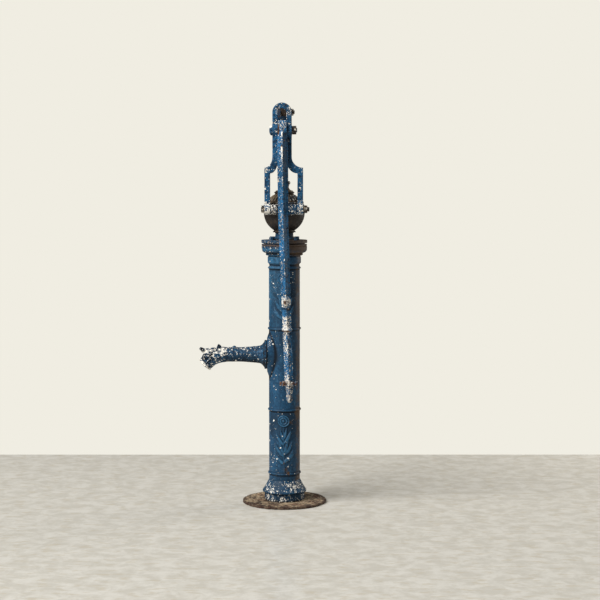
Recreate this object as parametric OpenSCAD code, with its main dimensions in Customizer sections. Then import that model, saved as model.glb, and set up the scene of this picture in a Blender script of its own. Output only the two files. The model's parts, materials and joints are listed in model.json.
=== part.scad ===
// Hand well pump: a cast-iron column with a spout, an urn-shaped gland housing,
// a rocking fork and a long lever. Millimetres, +Z up. The origin is the centre of
// the base plate's underside, on the column's axis. The spout points to -X and the
// lever hangs on the -Y side. Every hinge axis of the lever and the fork lies along X.

/* [Base plate] */
// Radius of the round base plate
base_r = 152; // [140:1:170]
// Thickness of the base plate
base_t = 10; // [8:1:14]
// Radius of the suction pipe's thread
suction_r = 21; // [16:1:24]

/* [Column] */
// Outer radius of the column's plain shaft
shaft_r = 55.5; // [54:0.5:58]
// Thickness of the column's wall
wall = 8; // [6:0.5:9]
// Height of the column's top face
column_top = 932; // [925:1:950]
// Radius of the round capital at the column's top
capital_r = 81; // [78:1:86]
// Height of each decorative bead around the shaft
bead_heights = [108, 338, 630]; // [100:1:700]

/* [Spout] */
// Height of the spout's axis
spout_z = 535; // [500:1:560]
// Radius of the spout at its root
spout_root_r = 30; // [28:1:32]
// Radius of the spout along its middle
spout_r = 26; // [25:0.5:27]
// Radius of the water way through the spout
spout_bore_r = 19; // [16:0.5:19]
// Radius of the mouth's round water way
mouth_bore_r = 20; // [16:0.5:20]

/* [Urn] */
// Radius of the urn's ball
ball_r = 73; // [70:1:75]
// Height of the ball's centre
ball_z = 1044; // [1040:1:1048]
// Thickness of the urn's wall
urn_wall = 8; // [6:0.5:9]

/* [Fork] */
// Height of the fork's foot pivot
foot_z = 1057; // [1055:1:1059]
// Distance of the fork in front of the column's axis
fork_y = 75; // [74:0.5:76]
// Distance from the foot pivot up to the fulcrum
fork_length = 277; // [274:1:282]
// Thickness of the fork from front to back
fork_t = 20; // [16:1:20]
// How far the fork's head leans to one side of the column's axis
head_x = -7; // [-8:0.5:-6]
// Width of the gap between the fork's two legs at the head
head_gap = 29; // [29:0.5:30]

/* [Lever] */
// Width of the lever where it passes through the fork
throat_w = 28; // [26:0.5:28]
// Distance of the lever bar's back face in front of the column's axis
bar_y = 97; // [97:0.5:100]
// Height of the lever's lowest tip
tip_z = 374; // [360:1:378]
// Sideways place of the lever's tip, where long use has bent the bar
tip_x = 19.5; // [0:0.5:20]
// Height of the rod pin above the fulcrum
pin_rise = 66; // [65:0.5:67]

/* [Pump works] */
// Radius of the piston rod
rod_r = 8; // [7:0.5:9]
// Inner radius of the barrel
barrel_r = 36; // [34:0.5:36]
// Height of the barrel's lower edge
barrel_z = 232; // [228:1:240]
// Height of the barrel's upper edge
barrel_top = 500; // [495:1:505]

/* [Hidden] */
$fn = 72;
eps = 0.01;
run = 0.05;                        // radial clearance of a shaft that turns or slides
bore_r = shaft_r - wall;           // column's inner radius
spigot_r = bore_r + 4;             // shaft's screwed ends, in the foot and in the capital
foot_top = 84;                     // joint between the bell-shaped foot and the shaft
spigot_low = 72;
capital_z = 890;                   // joint between the shaft and the capital
spigot_high = 906;
gasket_t = 4;
cover_z = column_top + gasket_t;   // underside of the cover
cover_t = 11;
cover_r = capital_r + 1;
cover_bolt_r = 62;                 // cover bolts' circle
cover_bolt_turn = 45;
neck_top = 972;                    // top of the cover's neck
bowl_z = neck_top + 2;             // underside of the urn's bowl
belt_top = 1076;                   // joint between bowl and dome
gland_z = 1111;                    // underside of the gland's flange
gland_top = 1119;
fulcrum_z = foot_z + fork_length;
pin_z = fulcrum_z + pin_rise;      // rod pin, on the rod's axis at rest
arm_length = norm([fork_y, pin_rise]);
arm_angle = atan2(pin_rise, fork_y);
arm_x = -1;                        // centre between the fork's two arms
arm_in = 48;                       // inner and outer faces of the arms from arm_x
arm_out = 68;
leg_out = 34;                      // outer face of the legs from head_x
arch_z = 1396;                     // centre of the fork's round head
eye_r = 19;
lug_r = 18;
stud_r = 8;
fulcrum_r = 8;
rod_pin_r = 7;
lug_in = 18;                       // inner and outer faces of the urn's lugs from arm_x
lug_out = 46;
knee_z = 1010;                     // where the lever starts to lean sideways
knee_x = -2.5;
bar_top_x = -5.5;
knob_z = 729;                      // egg-shaped knob, worn collar and guard on the bar
collar_z = 634;
guard_z = 443;
slot_floor = 58;                   // bottom of the lever's fork from the fulcrum
stud_end_low = -81;                // outer ends of the fork's two studs
stud_end_high = 89;
side_nut = 24;                     // width across the flats of the studs' nuts
flange_r = 52;                     // spout's round flange
boss_x = 62;                       // face of the column's spout boss
washer_t = 1.5;
head_c = [-252, 527];              // centre of the spout's bend, as X and Z
mouth_c = [-286.5, 498.5];         // centre of the mouth's rim, as X and Z
mouth_tilt = 46;                   // the mouth faces down and outwards by this angle
seat_z = barrel_z;                 // face that the barrel and the clack seat stand on
clack_x = 29.5;                    // clack's hinge
clack_z = seat_z + 9;
piston_z = 446;                    // underside of the piston's body
port_count = 4;
port_r = 6.5;
port_ring = 21;
slot_low = 8;                      // crosshead slot around the rod pin: down, up and back
slot_high = 10.3;
slot_back = 18.4;

// ---- Shared shapes ----

// Points of a quarter round from p, where it runs level, to q, where it runs upright
function quarter(p, q, n = 8) =
    [for (i = [0:n]) [p[0] + (q[0] - p[0]) * sin(90 * i / n),
                      p[1] + (q[1] - p[1]) * (1 - cos(90 * i / n))]];

// Points of a quarter round from p, where it runs upright, to q, where it runs level
function shoulder(p, q, n = 8) =
    [for (i = [0:n]) [p[0] + (q[0] - p[0]) * (1 - cos(90 * i / n)),
                      p[1] + (q[1] - p[1]) * sin(90 * i / n)]];

function reversed(list) = [for (i = [len(list) - 1:-1:0]) list[i]];

function oval_points(a, b, n = 40) = [for (i = [0:n - 1]) [a * cos(360 * i / n), b * sin(360 * i / n)]];

// Sideways place of the lever's middle at height z
function bar_x(z) = z > knee_z
    ? knee_x + (bar_top_x - knee_x) * (z - knee_z) / (fulcrum_z - knee_z)
    : knee_x + (tip_x - knee_x) * (knee_z - z) / (knee_z - tip_z);

module ring(r_in, r_out, z0, z1) {
    translate([0, 0, z0]) difference() {
        cylinder(r = r_out, h = z1 - z0);
        translate([0, 0, -1]) cylinder(r = r_in, h = z1 - z0 + 2);
    }
}

// Cylinder along X between x0 and x1
module x_rod(r, x0, x1, y, z) {
    translate([x0, y, z]) rotate([0, 90, 0]) cylinder(r = r, h = x1 - x0);
}

// Hexagon along X between x0 and x1, its width across the flats being flats
module x_hex(flats, x0, x1, y, z) {
    translate([x0, y, z]) rotate([0, 90, 0]) cylinder(r = flats / sqrt(3), h = x1 - x0, $fn = 6);
}

// Outline in the Y-Z plane, thickened along X between x0 and x1
module side_plate(x0, x1) {
    translate([x0, 0, 0]) rotate([90, 0, 90]) linear_extrude(height = x1 - x0) children();
}

// Children at the cover bolts' places
module at_cover_bolts() {
    for (i = [0:3]) rotate(cover_bolt_turn + 90 * i) translate([cover_bolt_r, 0, 0]) children();
}

module at_base_screws() {
    for (i = [0:3]) rotate(90 * i) translate([38, 0, 0]) children();
}

module at_ports() {
    for (i = [0:port_count - 1]) rotate(45 + 360 / port_count * i) translate([port_ring, 0, 0]) children();
}

// ---- Base ----

module base_plate() {
    color("sienna") difference() {
        rotate_extrude() polygon([[0, 0], [base_r - 2, 0], [base_r, 2], [base_r, base_t - 3],
            [base_r - 3, base_t], [0, base_t]]);
        translate([0, 0, -1]) cylinder(r = suction_r, h = base_t + 2);
        at_base_screws() {
            translate([0, 0, -1]) cylinder(r = 4, h = base_t + 2);
            translate([0, 0, -1]) cylinder(r = 7.5, h = 7);
        }
    }
}

module base_screws() {
    color("dimgray") at_base_screws() {
        translate([0, 0, 1]) cylinder(r = 7, h = 5);
        translate([0, 0, 6 - eps]) cylinder(r = 4, h = 24 + eps);
    }
}

module suction_flange() {
    color("slategray") difference() {
        rotate_extrude() polygon([[0, base_t], [29.5, base_t], [29.5, base_t + 10], [46, base_t + 10],
            [46, base_t + 22], [30, base_t + 22], [30, base_t + 44], [0, base_t + 44]]);
        translate([0, 0, base_t - 1]) cylinder(r = suction_r, h = 23);
        translate([0, 0, base_t]) cylinder(r = suction_r - 3.5, h = 50);
        translate([0, 0, base_t + 26]) cylinder(r = suction_r, h = 20);
        at_base_screws() translate([0, 0, base_t - 1]) cylinder(r = 4, h = 21);
    }
}

module suction_pipe() {
    color("gray") ring(suction_r - 3.5, suction_r, base_t + 26, barrel_z - 14);
}

// ---- Column ----

// Bell-shaped foot, which the shaft screws into
module column_foot() {
    color("steelblue") difference() {
        rotate_extrude() polygon(concat([[0, base_t], [72, base_t], [72, 36], [70, 38]],
            quarter([73, 38], [79, 41], 4), [[79, 45], [72, 54], [66, 64], [60, 76],
            [shaft_r - 0.5, foot_top], [0, foot_top]]));
        rotate_extrude() polygon([[0, base_t - 1], [30, base_t - 1], [30, base_t + 10],
            [60, base_t + 10], [60, 42], [spigot_r, spigot_low], [spigot_r, foot_top + 1],
            [0, foot_top + 1]]);
        at_base_screws() translate([0, 0, base_t - 1]) cylinder(r = 4, h = 12);
    }
}

module column_outline() {
    polygon([[0, spigot_low], [spigot_r, spigot_low], [spigot_r, foot_top], [shaft_r, foot_top],
        [shaft_r, 845], [shaft_r - 1.8, 848], [shaft_r - 1.8, 853], [shaft_r, 856], [59.5, 860],
        [59.5, 886], [57.5, 888], [57.5, capital_z], [spigot_r, capital_z],
        [spigot_r, spigot_high], [0, spigot_high]]);
    for (z = bead_heights) translate([shaft_r, z]) circle(r = 4, $fn = 32);
    translate([shaft_r, 841]) circle(r = 3.2, $fn = 32);
}

module column() {
    color("steelblue") difference() {
        union() {
            rotate_extrude() column_outline();
            translate([0, 0, spout_z]) rotate([0, -90, 0]) hull() {
                linear_extrude(height = 50) polygon(oval_points(94, 47));
                linear_extrude(height = boss_x) polygon(oval_points(62, 45));
            }
        }
        translate([0, 0, spigot_low - 1]) cylinder(r = bore_r, h = spigot_high - spigot_low + 2);
        translate([0, 0, spout_z]) rotate([0, -90, 0]) cylinder(r = 24, h = boss_x + 5);
    }
}

// Round capital, which screws onto the shaft and carries the cover
module column_capital() {
    color("steelblue") difference() {
        rotate_extrude() polygon(concat([[0, capital_z], [57.5, capital_z], [66, 893], [66, 900]],
            quarter([67, 901], [capital_r, 915]), [[capital_r, column_top], [0, column_top]]));
        rotate_extrude() polygon([[0, capital_z - 1], [spigot_r, capital_z - 1],
            [spigot_r, spigot_high], [bore_r, spigot_high], [bore_r, column_top + 1],
            [0, column_top + 1]]);
        at_cover_bolts() translate([0, 0, column_top - 18]) cylinder(r = 5, h = 20);
    }
}

// ---- Barrel and foot valve ----

module barrel_foot() {
    color("goldenrod") difference() {
        union() {
            rotate_extrude() polygon([[0, seat_z - 28], [28, seat_z - 28], [28, seat_z - 10],
                [45, seat_z - 10], [45, seat_z + 12], [40, seat_z + 12], [40, seat_z], [23, seat_z],
                [23, seat_z + 5], [0, seat_z + 5]]);
            for (s = [-1, 1]) translate([26, s * 9.75 - 1.75, seat_z - 1]) cube([7.5, 3.5, 14]);
        }
        translate([0, 0, seat_z - 29]) cylinder(r = suction_r, h = 15);
        translate([0, 0, seat_z - 20]) cylinder(r = suction_r - 3.5, h = 30);
        translate([clack_x, -20, clack_z]) rotate([-90, 0, 0]) cylinder(r = 2.5, h = 40);
    }
}

module barrel() {
    color("darkgoldenrod") ring(barrel_r, 40, barrel_z, barrel_top);
}

module barrel_seal() {
    color("saddlebrown") ring(40, bore_r, barrel_top - 16, barrel_top - 8);
}

module clack_pin() {
    color("silver") translate([clack_x, -11.5, clack_z]) rotate([-90, 0, 0]) cylinder(r = 2.5, h = 23);
}

module clack_leather() {
    color("saddlebrown") translate([0, 0, seat_z + 5.3]) cylinder(r = 25, h = 3);
}

module clack_plate() {
    color("goldenrod") difference() {
        union() {
            translate([0, 0, seat_z + 8.3]) cylinder(r = 21, h = 4);
            translate([0, -7.6, seat_z + 8.3]) cube([clack_x, 15.2, 4]);
            translate([clack_x, -7.6, clack_z]) rotate([-90, 0, 0]) cylinder(r = 4, h = 15.2);
        }
        translate([clack_x, -10, clack_z]) rotate([-90, 0, 0]) cylinder(r = 2.5 + run, h = 20);
        cylinder(r = 3, h = seat_z + 30);
    }
}

module clack_rivet() {
    color("peru") rotate_extrude() polygon([[0, seat_z + 8.3], [3, seat_z + 8.3], [3, seat_z + 12.3],
        [12, seat_z + 12.3], [12, seat_z + 15], [7, seat_z + 19], [0, seat_z + 19]]);
}

// ---- Piston ----

module piston_rod() {
    color("silver") translate([0, 0, piston_z - 28]) cylinder(r = rod_r, h = pin_z - 38 - piston_z + 28);
}

module piston_body() {
    color("goldenrod") difference() {
        ring(rod_r, barrel_r - 2, piston_z, piston_z + 12);
        at_ports() translate([0, 0, piston_z - 1]) cylinder(r = port_r, h = 14);
    }
}

module piston_cup() {
    color("saddlebrown") difference() {
        union() {
            ring(rod_r, barrel_r - 0.1, piston_z - 6, piston_z);
            ring(barrel_r - 2, barrel_r - 0.1, piston_z - 6, piston_z + 8);
        }
        at_ports() translate([0, 0, piston_z - 7]) cylinder(r = port_r, h = 8);
    }
}

module piston_clamp() {
    color("darkgoldenrod") difference() {
        ring(rod_r, barrel_r - 4, piston_z - 14, piston_z - 6);
        at_ports() translate([0, 0, piston_z - 15]) cylinder(r = port_r, h = 10);
    }
}

module hex_nut(flats, z, h) {
    translate([0, 0, z]) difference() {
        cylinder(r = flats / sqrt(3), h = h, $fn = 6);
        translate([0, 0, -1]) cylinder(r = rod_r, h = h + 2);
    }
}

module piston_nut() {
    color("dimgray") hex_nut(24, piston_z - 26, 12);
}

module valve_stop() {
    color("dimgray") hex_nut(24, piston_z + 28, 12);
}

module piston_valve() {
    color("peru") ring(rod_r + run, 30, piston_z + 12.3, piston_z + 17.3);
}

// ---- Spout ----

module spout_washer() {
    color("saddlebrown") translate([-boss_x, 0, spout_z]) rotate([0, -90, 0])
        ring(24, flange_r - 1, 0, washer_t);
}

// Thin disc square to the spout's run: centre c as X and Z, turned down by tilt degrees
module spout_disc(c, tilt, r) {
    translate([c[0], 0, c[1]]) rotate([0, -90 - tilt, 0]) cylinder(r = r, h = 1, $fn = 32);
}

module spout() {
    start = boss_x + washer_t;
    color("steelblue") difference() {
        union() {
            translate([0, 0, spout_z]) rotate([0, -90, 0]) rotate_extrude() polygon(concat(
                [[0, start - 21.5], [24, start - 21.5], [24, start], [flange_r, start],
                 [flange_r, start + 6]],
                quarter([flange_r - 3, start + 9], [spout_root_r, start + 32]),
                [[spout_r, 161], [spout_r, 212], [0, 212]]));
            hull() {
                spout_disc([-205, spout_z], 0, spout_r);
                spout_disc(head_c, 24, 29);
            }
            hull() {
                spout_disc(head_c, 24, 29);
                spout_disc([mouth_c[0] + 0.7, mouth_c[1] + 0.7], mouth_tilt, 27.5);
                translate([-292, -9, 548]) cube([12, 18, 7]);
            }
            translate([-303, -7, 551]) cube([16, 14, 9]);
        }
        translate([0, 0, spout_z]) rotate([0, -90, 0]) cylinder(r = spout_bore_r, h = 240);
        translate([head_c[0], 0, head_c[1] + 4]) rotate([0, -90 - 24, 0])
            translate([0, 0, -14]) cylinder(r = spout_bore_r, h = 36);
        translate([mouth_c[0], 0, mouth_c[1]]) rotate([0, -90 - mouth_tilt, 0])
            translate([0, 0, -30]) cylinder(r = mouth_bore_r, h = 60);
    }
}

// ---- Cover and urn ----

module cover_gasket() {
    color("saddlebrown") difference() {
        ring(50, 74, column_top, cover_z);
        at_cover_bolts() translate([0, 0, column_top - 1]) cylinder(r = 5, h = gasket_t + 2);
    }
}

module cover() {
    plate_top = cover_z + cover_t;
    color("steelblue") difference() {
        rotate_extrude() polygon(concat([[0, cover_z], [cover_r - 1, cover_z], [cover_r, cover_z + 1],
            [cover_r, plate_top - 1], [cover_r - 1, plate_top], [48, plate_top], [48, plate_top + 4]],
            quarter([44, plate_top + 5], [32, neck_top - 8]), [[32, neck_top], [0, neck_top]]));
        translate([0, 0, cover_z - 1]) cylinder(r = 20, h = 60);
        at_cover_bolts() translate([0, 0, cover_z - 1]) cylinder(r = 5, h = cover_t + 2);
    }
}

module cover_bolts() {
    color("steelblue") at_cover_bolts() {
        translate([0, 0, column_top - 16]) cylinder(r = 5, h = gasket_t + cover_t + 16);
        translate([0, 0, cover_z + cover_t]) cylinder(r = 11, h = 1.5);
        translate([0, 0, cover_z + cover_t + 1.5]) cylinder(r = 17 / sqrt(3), h = 9, $fn = 6);
    }
}

module urn_gasket() {
    color("saddlebrown") ring(20, 34, neck_top, bowl_z);
}

module urn_bowl() {
    color([0.26, 0.20, 0.16]) difference() {
        union() {
            intersection() {
                translate([0, 0, ball_z]) sphere(r = ball_r);
                translate([-100, -100, bowl_z + 4]) cube([200, 200, belt_top - bowl_z - 4]);
            }
            rotate_extrude() polygon([[0, bowl_z], [38, bowl_z], [41, bowl_z + 2], [30, bowl_z + 9],
                [0, bowl_z + 9]]);
            for (s = [-1, 1]) {
                x0 = arm_x + (s < 0 ? -lug_out : lug_in);
                x_rod(lug_r, x0, x0 + lug_out - lug_in, -fork_y, foot_z);
                translate([x0, -fork_y, foot_z - lug_r]) cube([lug_out - lug_in, 27, 2 * lug_r]);
            }
        }
        translate([0, 0, ball_z]) sphere(r = ball_r - urn_wall);
        translate([0, 0, bowl_z - 1]) cylinder(r = 20, h = 60);
        x_rod(stud_r, arm_x - lug_out - 1, arm_x - lug_in - 4, -fork_y, foot_z);
        x_rod(stud_r, arm_x + lug_in + 4, arm_x + lug_out + 1, -fork_y, foot_z);
    }
}

module urn_dome() {
    color([0.28, 0.22, 0.17]) difference() {
        intersection() {
            translate([0, 0, ball_z]) sphere(r = ball_r);
            translate([-100, -100, belt_top]) cube([200, 200, gland_z - belt_top]);
        }
        intersection() {
            translate([0, 0, ball_z]) sphere(r = ball_r - urn_wall);
            translate([-100, -100, belt_top - 1]) cube([200, 200, gland_z - belt_top - 11]);
        }
        translate([0, 0, belt_top]) cylinder(r = 22, h = 60);
    }
}

module stuffing_box() {
    color([0.30, 0.22, 0.15]) difference() {
        union() {
            translate([0, 0, gland_z - 40]) cylinder(r = 22, h = 42);
            translate([0, 0, gland_z]) rotate_extrude() polygon([[0, 0], [33, 0], [36, 4],
                [36, 6], [33, 8], [0, 8]]);
        }
        translate([0, 0, gland_z - 41]) cylinder(r = rod_r + run, h = 60);
        translate([0, 0, gland_z - 26]) cylinder(r = 16, h = 60);
    }
}

module gland_packing() {
    color("tan") ring(rod_r + run, 16, gland_z - 26, gland_z - 2);
}

module gland_cap() {
    color([0.30, 0.23, 0.17]) difference() {
        rotate_extrude() polygon(concat([[0, gland_z - 2], [16, gland_z - 2], [16, gland_top],
            [31, gland_top], [31, gland_top + 3]],
            quarter([28, gland_top + 4], [16.5, gland_top + 16], 5),
            [[16.5, 1143], [20, 1145], [21.6, 1148], [21.6, 1152], [19, 1156], [0, 1156]]));
        translate([0, 0, gland_z - 3]) cylinder(r = rod_r + run, h = 60);
    }
}

// ---- Fork ----

module fork_silhouette() {
    left = concat([[arm_x - arm_out, foot_z], [arm_x - arm_out, 1201]],
        reversed(shoulder([head_x - leg_out, 1240], [arm_x - arm_out + 2, 1203])));
    right = concat([[arm_x + arm_out, foot_z], [arm_x + arm_out, 1201]],
        reversed(shoulder([head_x + leg_out, 1240], [arm_x + arm_out - 2, 1203])));
    polygon(concat(left, [[head_x - leg_out, arch_z], [head_x + leg_out, arch_z]], reversed(right)));
    translate([head_x, arch_z]) circle(r = leg_out);
}

module fork_window() {
    half = head_gap / 2;
    left = concat([[arm_x - arm_in, foot_z - 40], [arm_x - arm_in, 1180]],
        reversed(shoulder([head_x - half, 1232], [arm_x - arm_in, 1184])));
    right = concat([[arm_x + arm_in, foot_z - 40], [arm_x + arm_in, 1180]],
        reversed(shoulder([head_x + half, 1232], [arm_x + arm_in, 1184])));
    polygon(concat(left, [[head_x - half, arch_z], [head_x + half, arch_z]], reversed(right)));
    translate([head_x, arch_z]) circle(r = half);
}

module fork() {
    half = head_gap / 2;
    color("steelblue") difference() {
        union() {
            translate([0, -fork_y + fork_t / 2, 0]) rotate([90, 0, 0]) linear_extrude(height = fork_t)
                difference() {
                    fork_silhouette();
                    fork_window();
                }
            for (s = [-1, 1]) {
                x0 = arm_x + (s < 0 ? -arm_out : arm_in);
                x_rod(eye_r, x0, x0 + arm_out - arm_in, -fork_y, foot_z);
                x1 = head_x + (s < 0 ? -leg_out : half);
                x_rod(eye_r, x1, x1 + leg_out - half, -fork_y, fulcrum_z);
            }
        }
        x_rod(stud_r + run, arm_x - arm_out - 1, arm_x + arm_out + 1, -fork_y, foot_z);
        x_rod(fulcrum_r, head_x - leg_out - 1, head_x + leg_out + 1, -fork_y, fulcrum_z);
    }
}

module fork_studs() {
    color("dimgray") for (s = [-1, 1]) {
        x0 = s < 0 ? stud_end_low : arm_x + lug_in + 4;
        x1 = s < 0 ? arm_x - lug_in - 4 : stud_end_high;
        x_rod(stud_r, x0, x1, -fork_y, foot_z);
    }
}

// Tube along X around a bolt
module x_ring(r_in, r_out, x0, x1, y, z) {
    difference() {
        x_rod(r_out, x0, x1, y, z);
        x_rod(r_in, x0 - 1, x1 + 1, y, z);
    }
}

// Hexagon nut along X with its own hole
module x_nut(flats, hole_r, x0, x1, y, z) {
    difference() {
        x_hex(flats, x0, x1, y, z);
        x_rod(hole_r, x0 - 1, x1 + 1, y, z);
    }
}

module fork_washers() {
    color("gray") for (s = [-1, 1]) {
        x0 = arm_x + (s < 0 ? -arm_out - 2.8 : arm_out + 0.3);
        x_ring(stud_r, 15, x0, x0 + 2.5, -fork_y, foot_z);
    }
}

module fork_nuts() {
    color("gray") for (s = [-1, 1]) {
        x0 = s < 0 ? stud_end_low + 0.5 : arm_x + arm_out + 2.8;
        x1 = s < 0 ? arm_x - arm_out - 2.8 : x0 + 12;
        x_nut(side_nut, stud_r, x0, x1, -fork_y, foot_z);
    }
}

module fulcrum_bolt() {
    head = head_x - leg_out;
    color("steelblue") {
        x_rod(18.5, head - 11, head, -fork_y, fulcrum_z);
        x_rod(fulcrum_r, head - eps, head_x + 53, -fork_y, fulcrum_z);
    }
}

module fulcrum_washer() {
    color("dimgray") x_ring(fulcrum_r, 15, head_x + leg_out, head_x + leg_out + 3, -fork_y, fulcrum_z);
}

module fulcrum_nut() {
    color([0.2, 0.18, 0.18]) x_nut(27, fulcrum_r, head_x + leg_out + 3, head_x + leg_out + 16,
        -fork_y, fulcrum_z);
}

// ---- Lever ----

// Thin roof-shaped slice of the lever's bar at height z
module bar_slice(z, w, depth) {
    translate([bar_x(z), -bar_y, z]) linear_extrude(height = 1)
        polygon([[-w / 2, 0], [w / 2, 0], [w / 2, -6], [1.5, -depth], [-1.5, -depth], [-w / 2, -6]]);
}

module bar_stretch(z0, w0, d0, z1, w1, d1) {
    hull() {
        bar_slice(z0, w0, d0);
        bar_slice(z1 - 1, w1, d1);
    }
}

// Round boss of the lever turned about an upright line: r(t) bulges like half an egg
module bar_knob(z, r, half) {
    translate([bar_x(z), -bar_y - 10, z]) rotate_extrude($fn = 40)
        polygon([for (i = [0:12]) [r * cos(15 * i - 90), half * sin(15 * i - 90)]]);
}

module lever_throat() {
    difference() {
        union() {
            translate([-fork_y, fulcrum_z]) circle(r = 20);
            translate([-bar_y, fulcrum_z]) polygon([[-24, -50], [0, -50], [6, -24],
                [bar_y - fork_y, -20], [bar_y - fork_y, 20], [0, 33], [-14, 31], [-22, 17], [-24, 1]]);
            translate([-fork_y, fulcrum_z]) rotate(arm_angle) translate([0, -16])
                square([slot_floor, 32]);
        }
        translate([-fork_y, fulcrum_z]) circle(r = fulcrum_r + run);
    }
}

module lever_clevis() {
    difference() {
        translate([-fork_y, fulcrum_z]) rotate(arm_angle) union() {
            translate([42, -16]) square([arm_length - 42, 32]);
            translate([arm_length, 0]) circle(r = 17);
        }
        translate([0, pin_z]) circle(r = rod_pin_r);
    }
}

module lever() {
    color([0.24, 0.38, 0.58]) {
        side_plate(head_x - throat_w / 2, head_x + throat_w / 2) lever_throat();
        difference() {
            side_plate(-24, 24) lever_clevis();
            translate([-12.6, -fork_y, fulcrum_z]) rotate([arm_angle, 0, 0])
                translate([0, slot_floor, -40]) cube([25.2, 80, 80]);
        }
        bar_stretch(knee_z, 35, 23, fulcrum_z - 21, 39, 25);
        bar_stretch(740, 31, 21, knee_z, 35, 23);
        bar_stretch(guard_z + 4, 30, 20, 740, 31, 21);
        bar_knob(knob_z, 17, 22);
        bar_knob(collar_z, 20, 8);
        translate([bar_x(guard_z), -bar_y - 10, guard_z - 6.5]) linear_extrude(height = 13)
            polygon(oval_points(30, 15));
        translate([bar_x(tip_z + 20), -bar_y - 10, 0]) rotate_extrude($fn = 40) polygon([[0, tip_z],
            [5, tip_z + 1], [9.5, tip_z + 6], [11.5, tip_z + 16], [9.5, tip_z + 32], [11, tip_z + 44],
            [15, tip_z + 58], [15, guard_z - 4], [0, guard_z - 4]]);
    }
}

module rod_pin() {
    color([0.25, 0.22, 0.2]) {
        x_rod(rod_pin_r, -24 - eps, 37, 0, pin_z);
        x_hex(22, -32, -24, 0, pin_z);
    }
}

module rod_pin_nut() {
    color([0.22, 0.2, 0.2]) x_nut(22, rod_pin_r, 24, 33, 0, pin_z);
}

// ---- Crosshead on the rod ----

// Slot for the rod pin, long from front to back, with round ends
module crosshead_slot() {
    r = (slot_low + slot_high) / 2;
    mid = (slot_high - slot_low) / 2;
    polygon(concat(
        [for (i = [0:12]) [slot_back + r * cos(15 * i - 90), mid + r * sin(15 * i - 90)]],
        [for (i = [0:12]) [r * cos(15 * i + 90), mid + r * sin(15 * i + 90)]]));
}

module crosshead() {
    color([0.3, 0.24, 0.2]) difference() {
        union() {
            side_plate(-12, 12) translate([0, pin_z]) difference() {
                polygon([[-14, -19], [34, -19], [38, -14], [38, 16], [34, 20], [-13, 20], [-18, 14],
                    [-18, -14]]);
                crosshead_slot();
            }
            translate([0, 0, pin_z - 44]) cylinder(r = 12, h = 26);
        }
        translate([0, 0, pin_z - 45]) cylinder(r = rod_r, h = 7);
    }
}

module rod_lock_nut() {
    color("dimgray") hex_nut(24, pin_z - 54, 10);
}

base_plate();
base_screws();
column_foot();
column();
column_capital();
suction_flange();
suction_pipe();
barrel_foot();
barrel();
barrel_seal();
clack_pin();
spout_washer();
spout();
cover_gasket();
cover();
cover_bolts();
urn_gasket();
urn_bowl();
urn_dome();
stuffing_box();
gland_packing();
gland_cap();
fork_studs();
fork_washers();
fork_nuts();
fork();
fulcrum_bolt();
fulcrum_washer();
fulcrum_nut();
lever();
rod_pin();
rod_pin_nut();
crosshead();
rod_lock_nut();
piston_rod();
piston_body();
piston_cup();
piston_clamp();
piston_nut();
valve_stop();
piston_valve();
clack_leather();
clack_plate();
clack_rivet();
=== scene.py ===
"""Looks of the hand well pump: cast-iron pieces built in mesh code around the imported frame.

Lengths inside the script are millimetres; meshes are made in metres. The column stands on the
Z axis, the spout points to -X and the lever hangs on the -Y side, towards the camera.
"""

import functools
import itertools
import json
import math

import bpy
import numpy as np
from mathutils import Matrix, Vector


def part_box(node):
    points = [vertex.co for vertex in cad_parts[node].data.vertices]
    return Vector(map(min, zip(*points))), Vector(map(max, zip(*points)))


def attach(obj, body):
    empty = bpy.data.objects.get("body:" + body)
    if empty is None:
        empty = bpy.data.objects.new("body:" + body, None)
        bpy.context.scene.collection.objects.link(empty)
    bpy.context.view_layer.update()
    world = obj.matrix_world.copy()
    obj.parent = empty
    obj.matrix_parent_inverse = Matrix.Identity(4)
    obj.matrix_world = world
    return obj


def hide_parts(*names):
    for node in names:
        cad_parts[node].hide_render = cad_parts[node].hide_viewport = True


MM = 0.001
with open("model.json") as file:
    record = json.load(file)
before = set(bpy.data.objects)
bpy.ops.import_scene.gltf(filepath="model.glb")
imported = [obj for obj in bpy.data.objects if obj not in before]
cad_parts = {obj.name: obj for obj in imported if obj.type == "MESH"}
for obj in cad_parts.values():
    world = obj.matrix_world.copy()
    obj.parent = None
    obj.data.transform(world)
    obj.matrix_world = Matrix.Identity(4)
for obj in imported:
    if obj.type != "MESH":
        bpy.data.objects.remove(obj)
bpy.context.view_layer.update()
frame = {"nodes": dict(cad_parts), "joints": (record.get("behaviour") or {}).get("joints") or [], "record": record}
NODES = frame["nodes"]
JOINTS = {joint["name"]: joint for joint in frame["joints"]}


def node_box(node):
    """Lowest and highest corner of a CAD node in millimetres."""
    low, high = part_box(node)
    return np.array(low) / MM, np.array(high) / MM


def heights(node):
    """Lowest and highest z of a CAD node."""
    low, high = node_box(node)
    return low[2], high[2]


def radius_of(node):
    """How far out a CAD node comes along +X."""
    return node_box(node)[1][0]


def joint_place(name):
    """Where a joint's pivot is."""
    return np.array(JOINTS[name]["pos_m"]) / MM


# ---- Sizes taken from the frame ----

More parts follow.
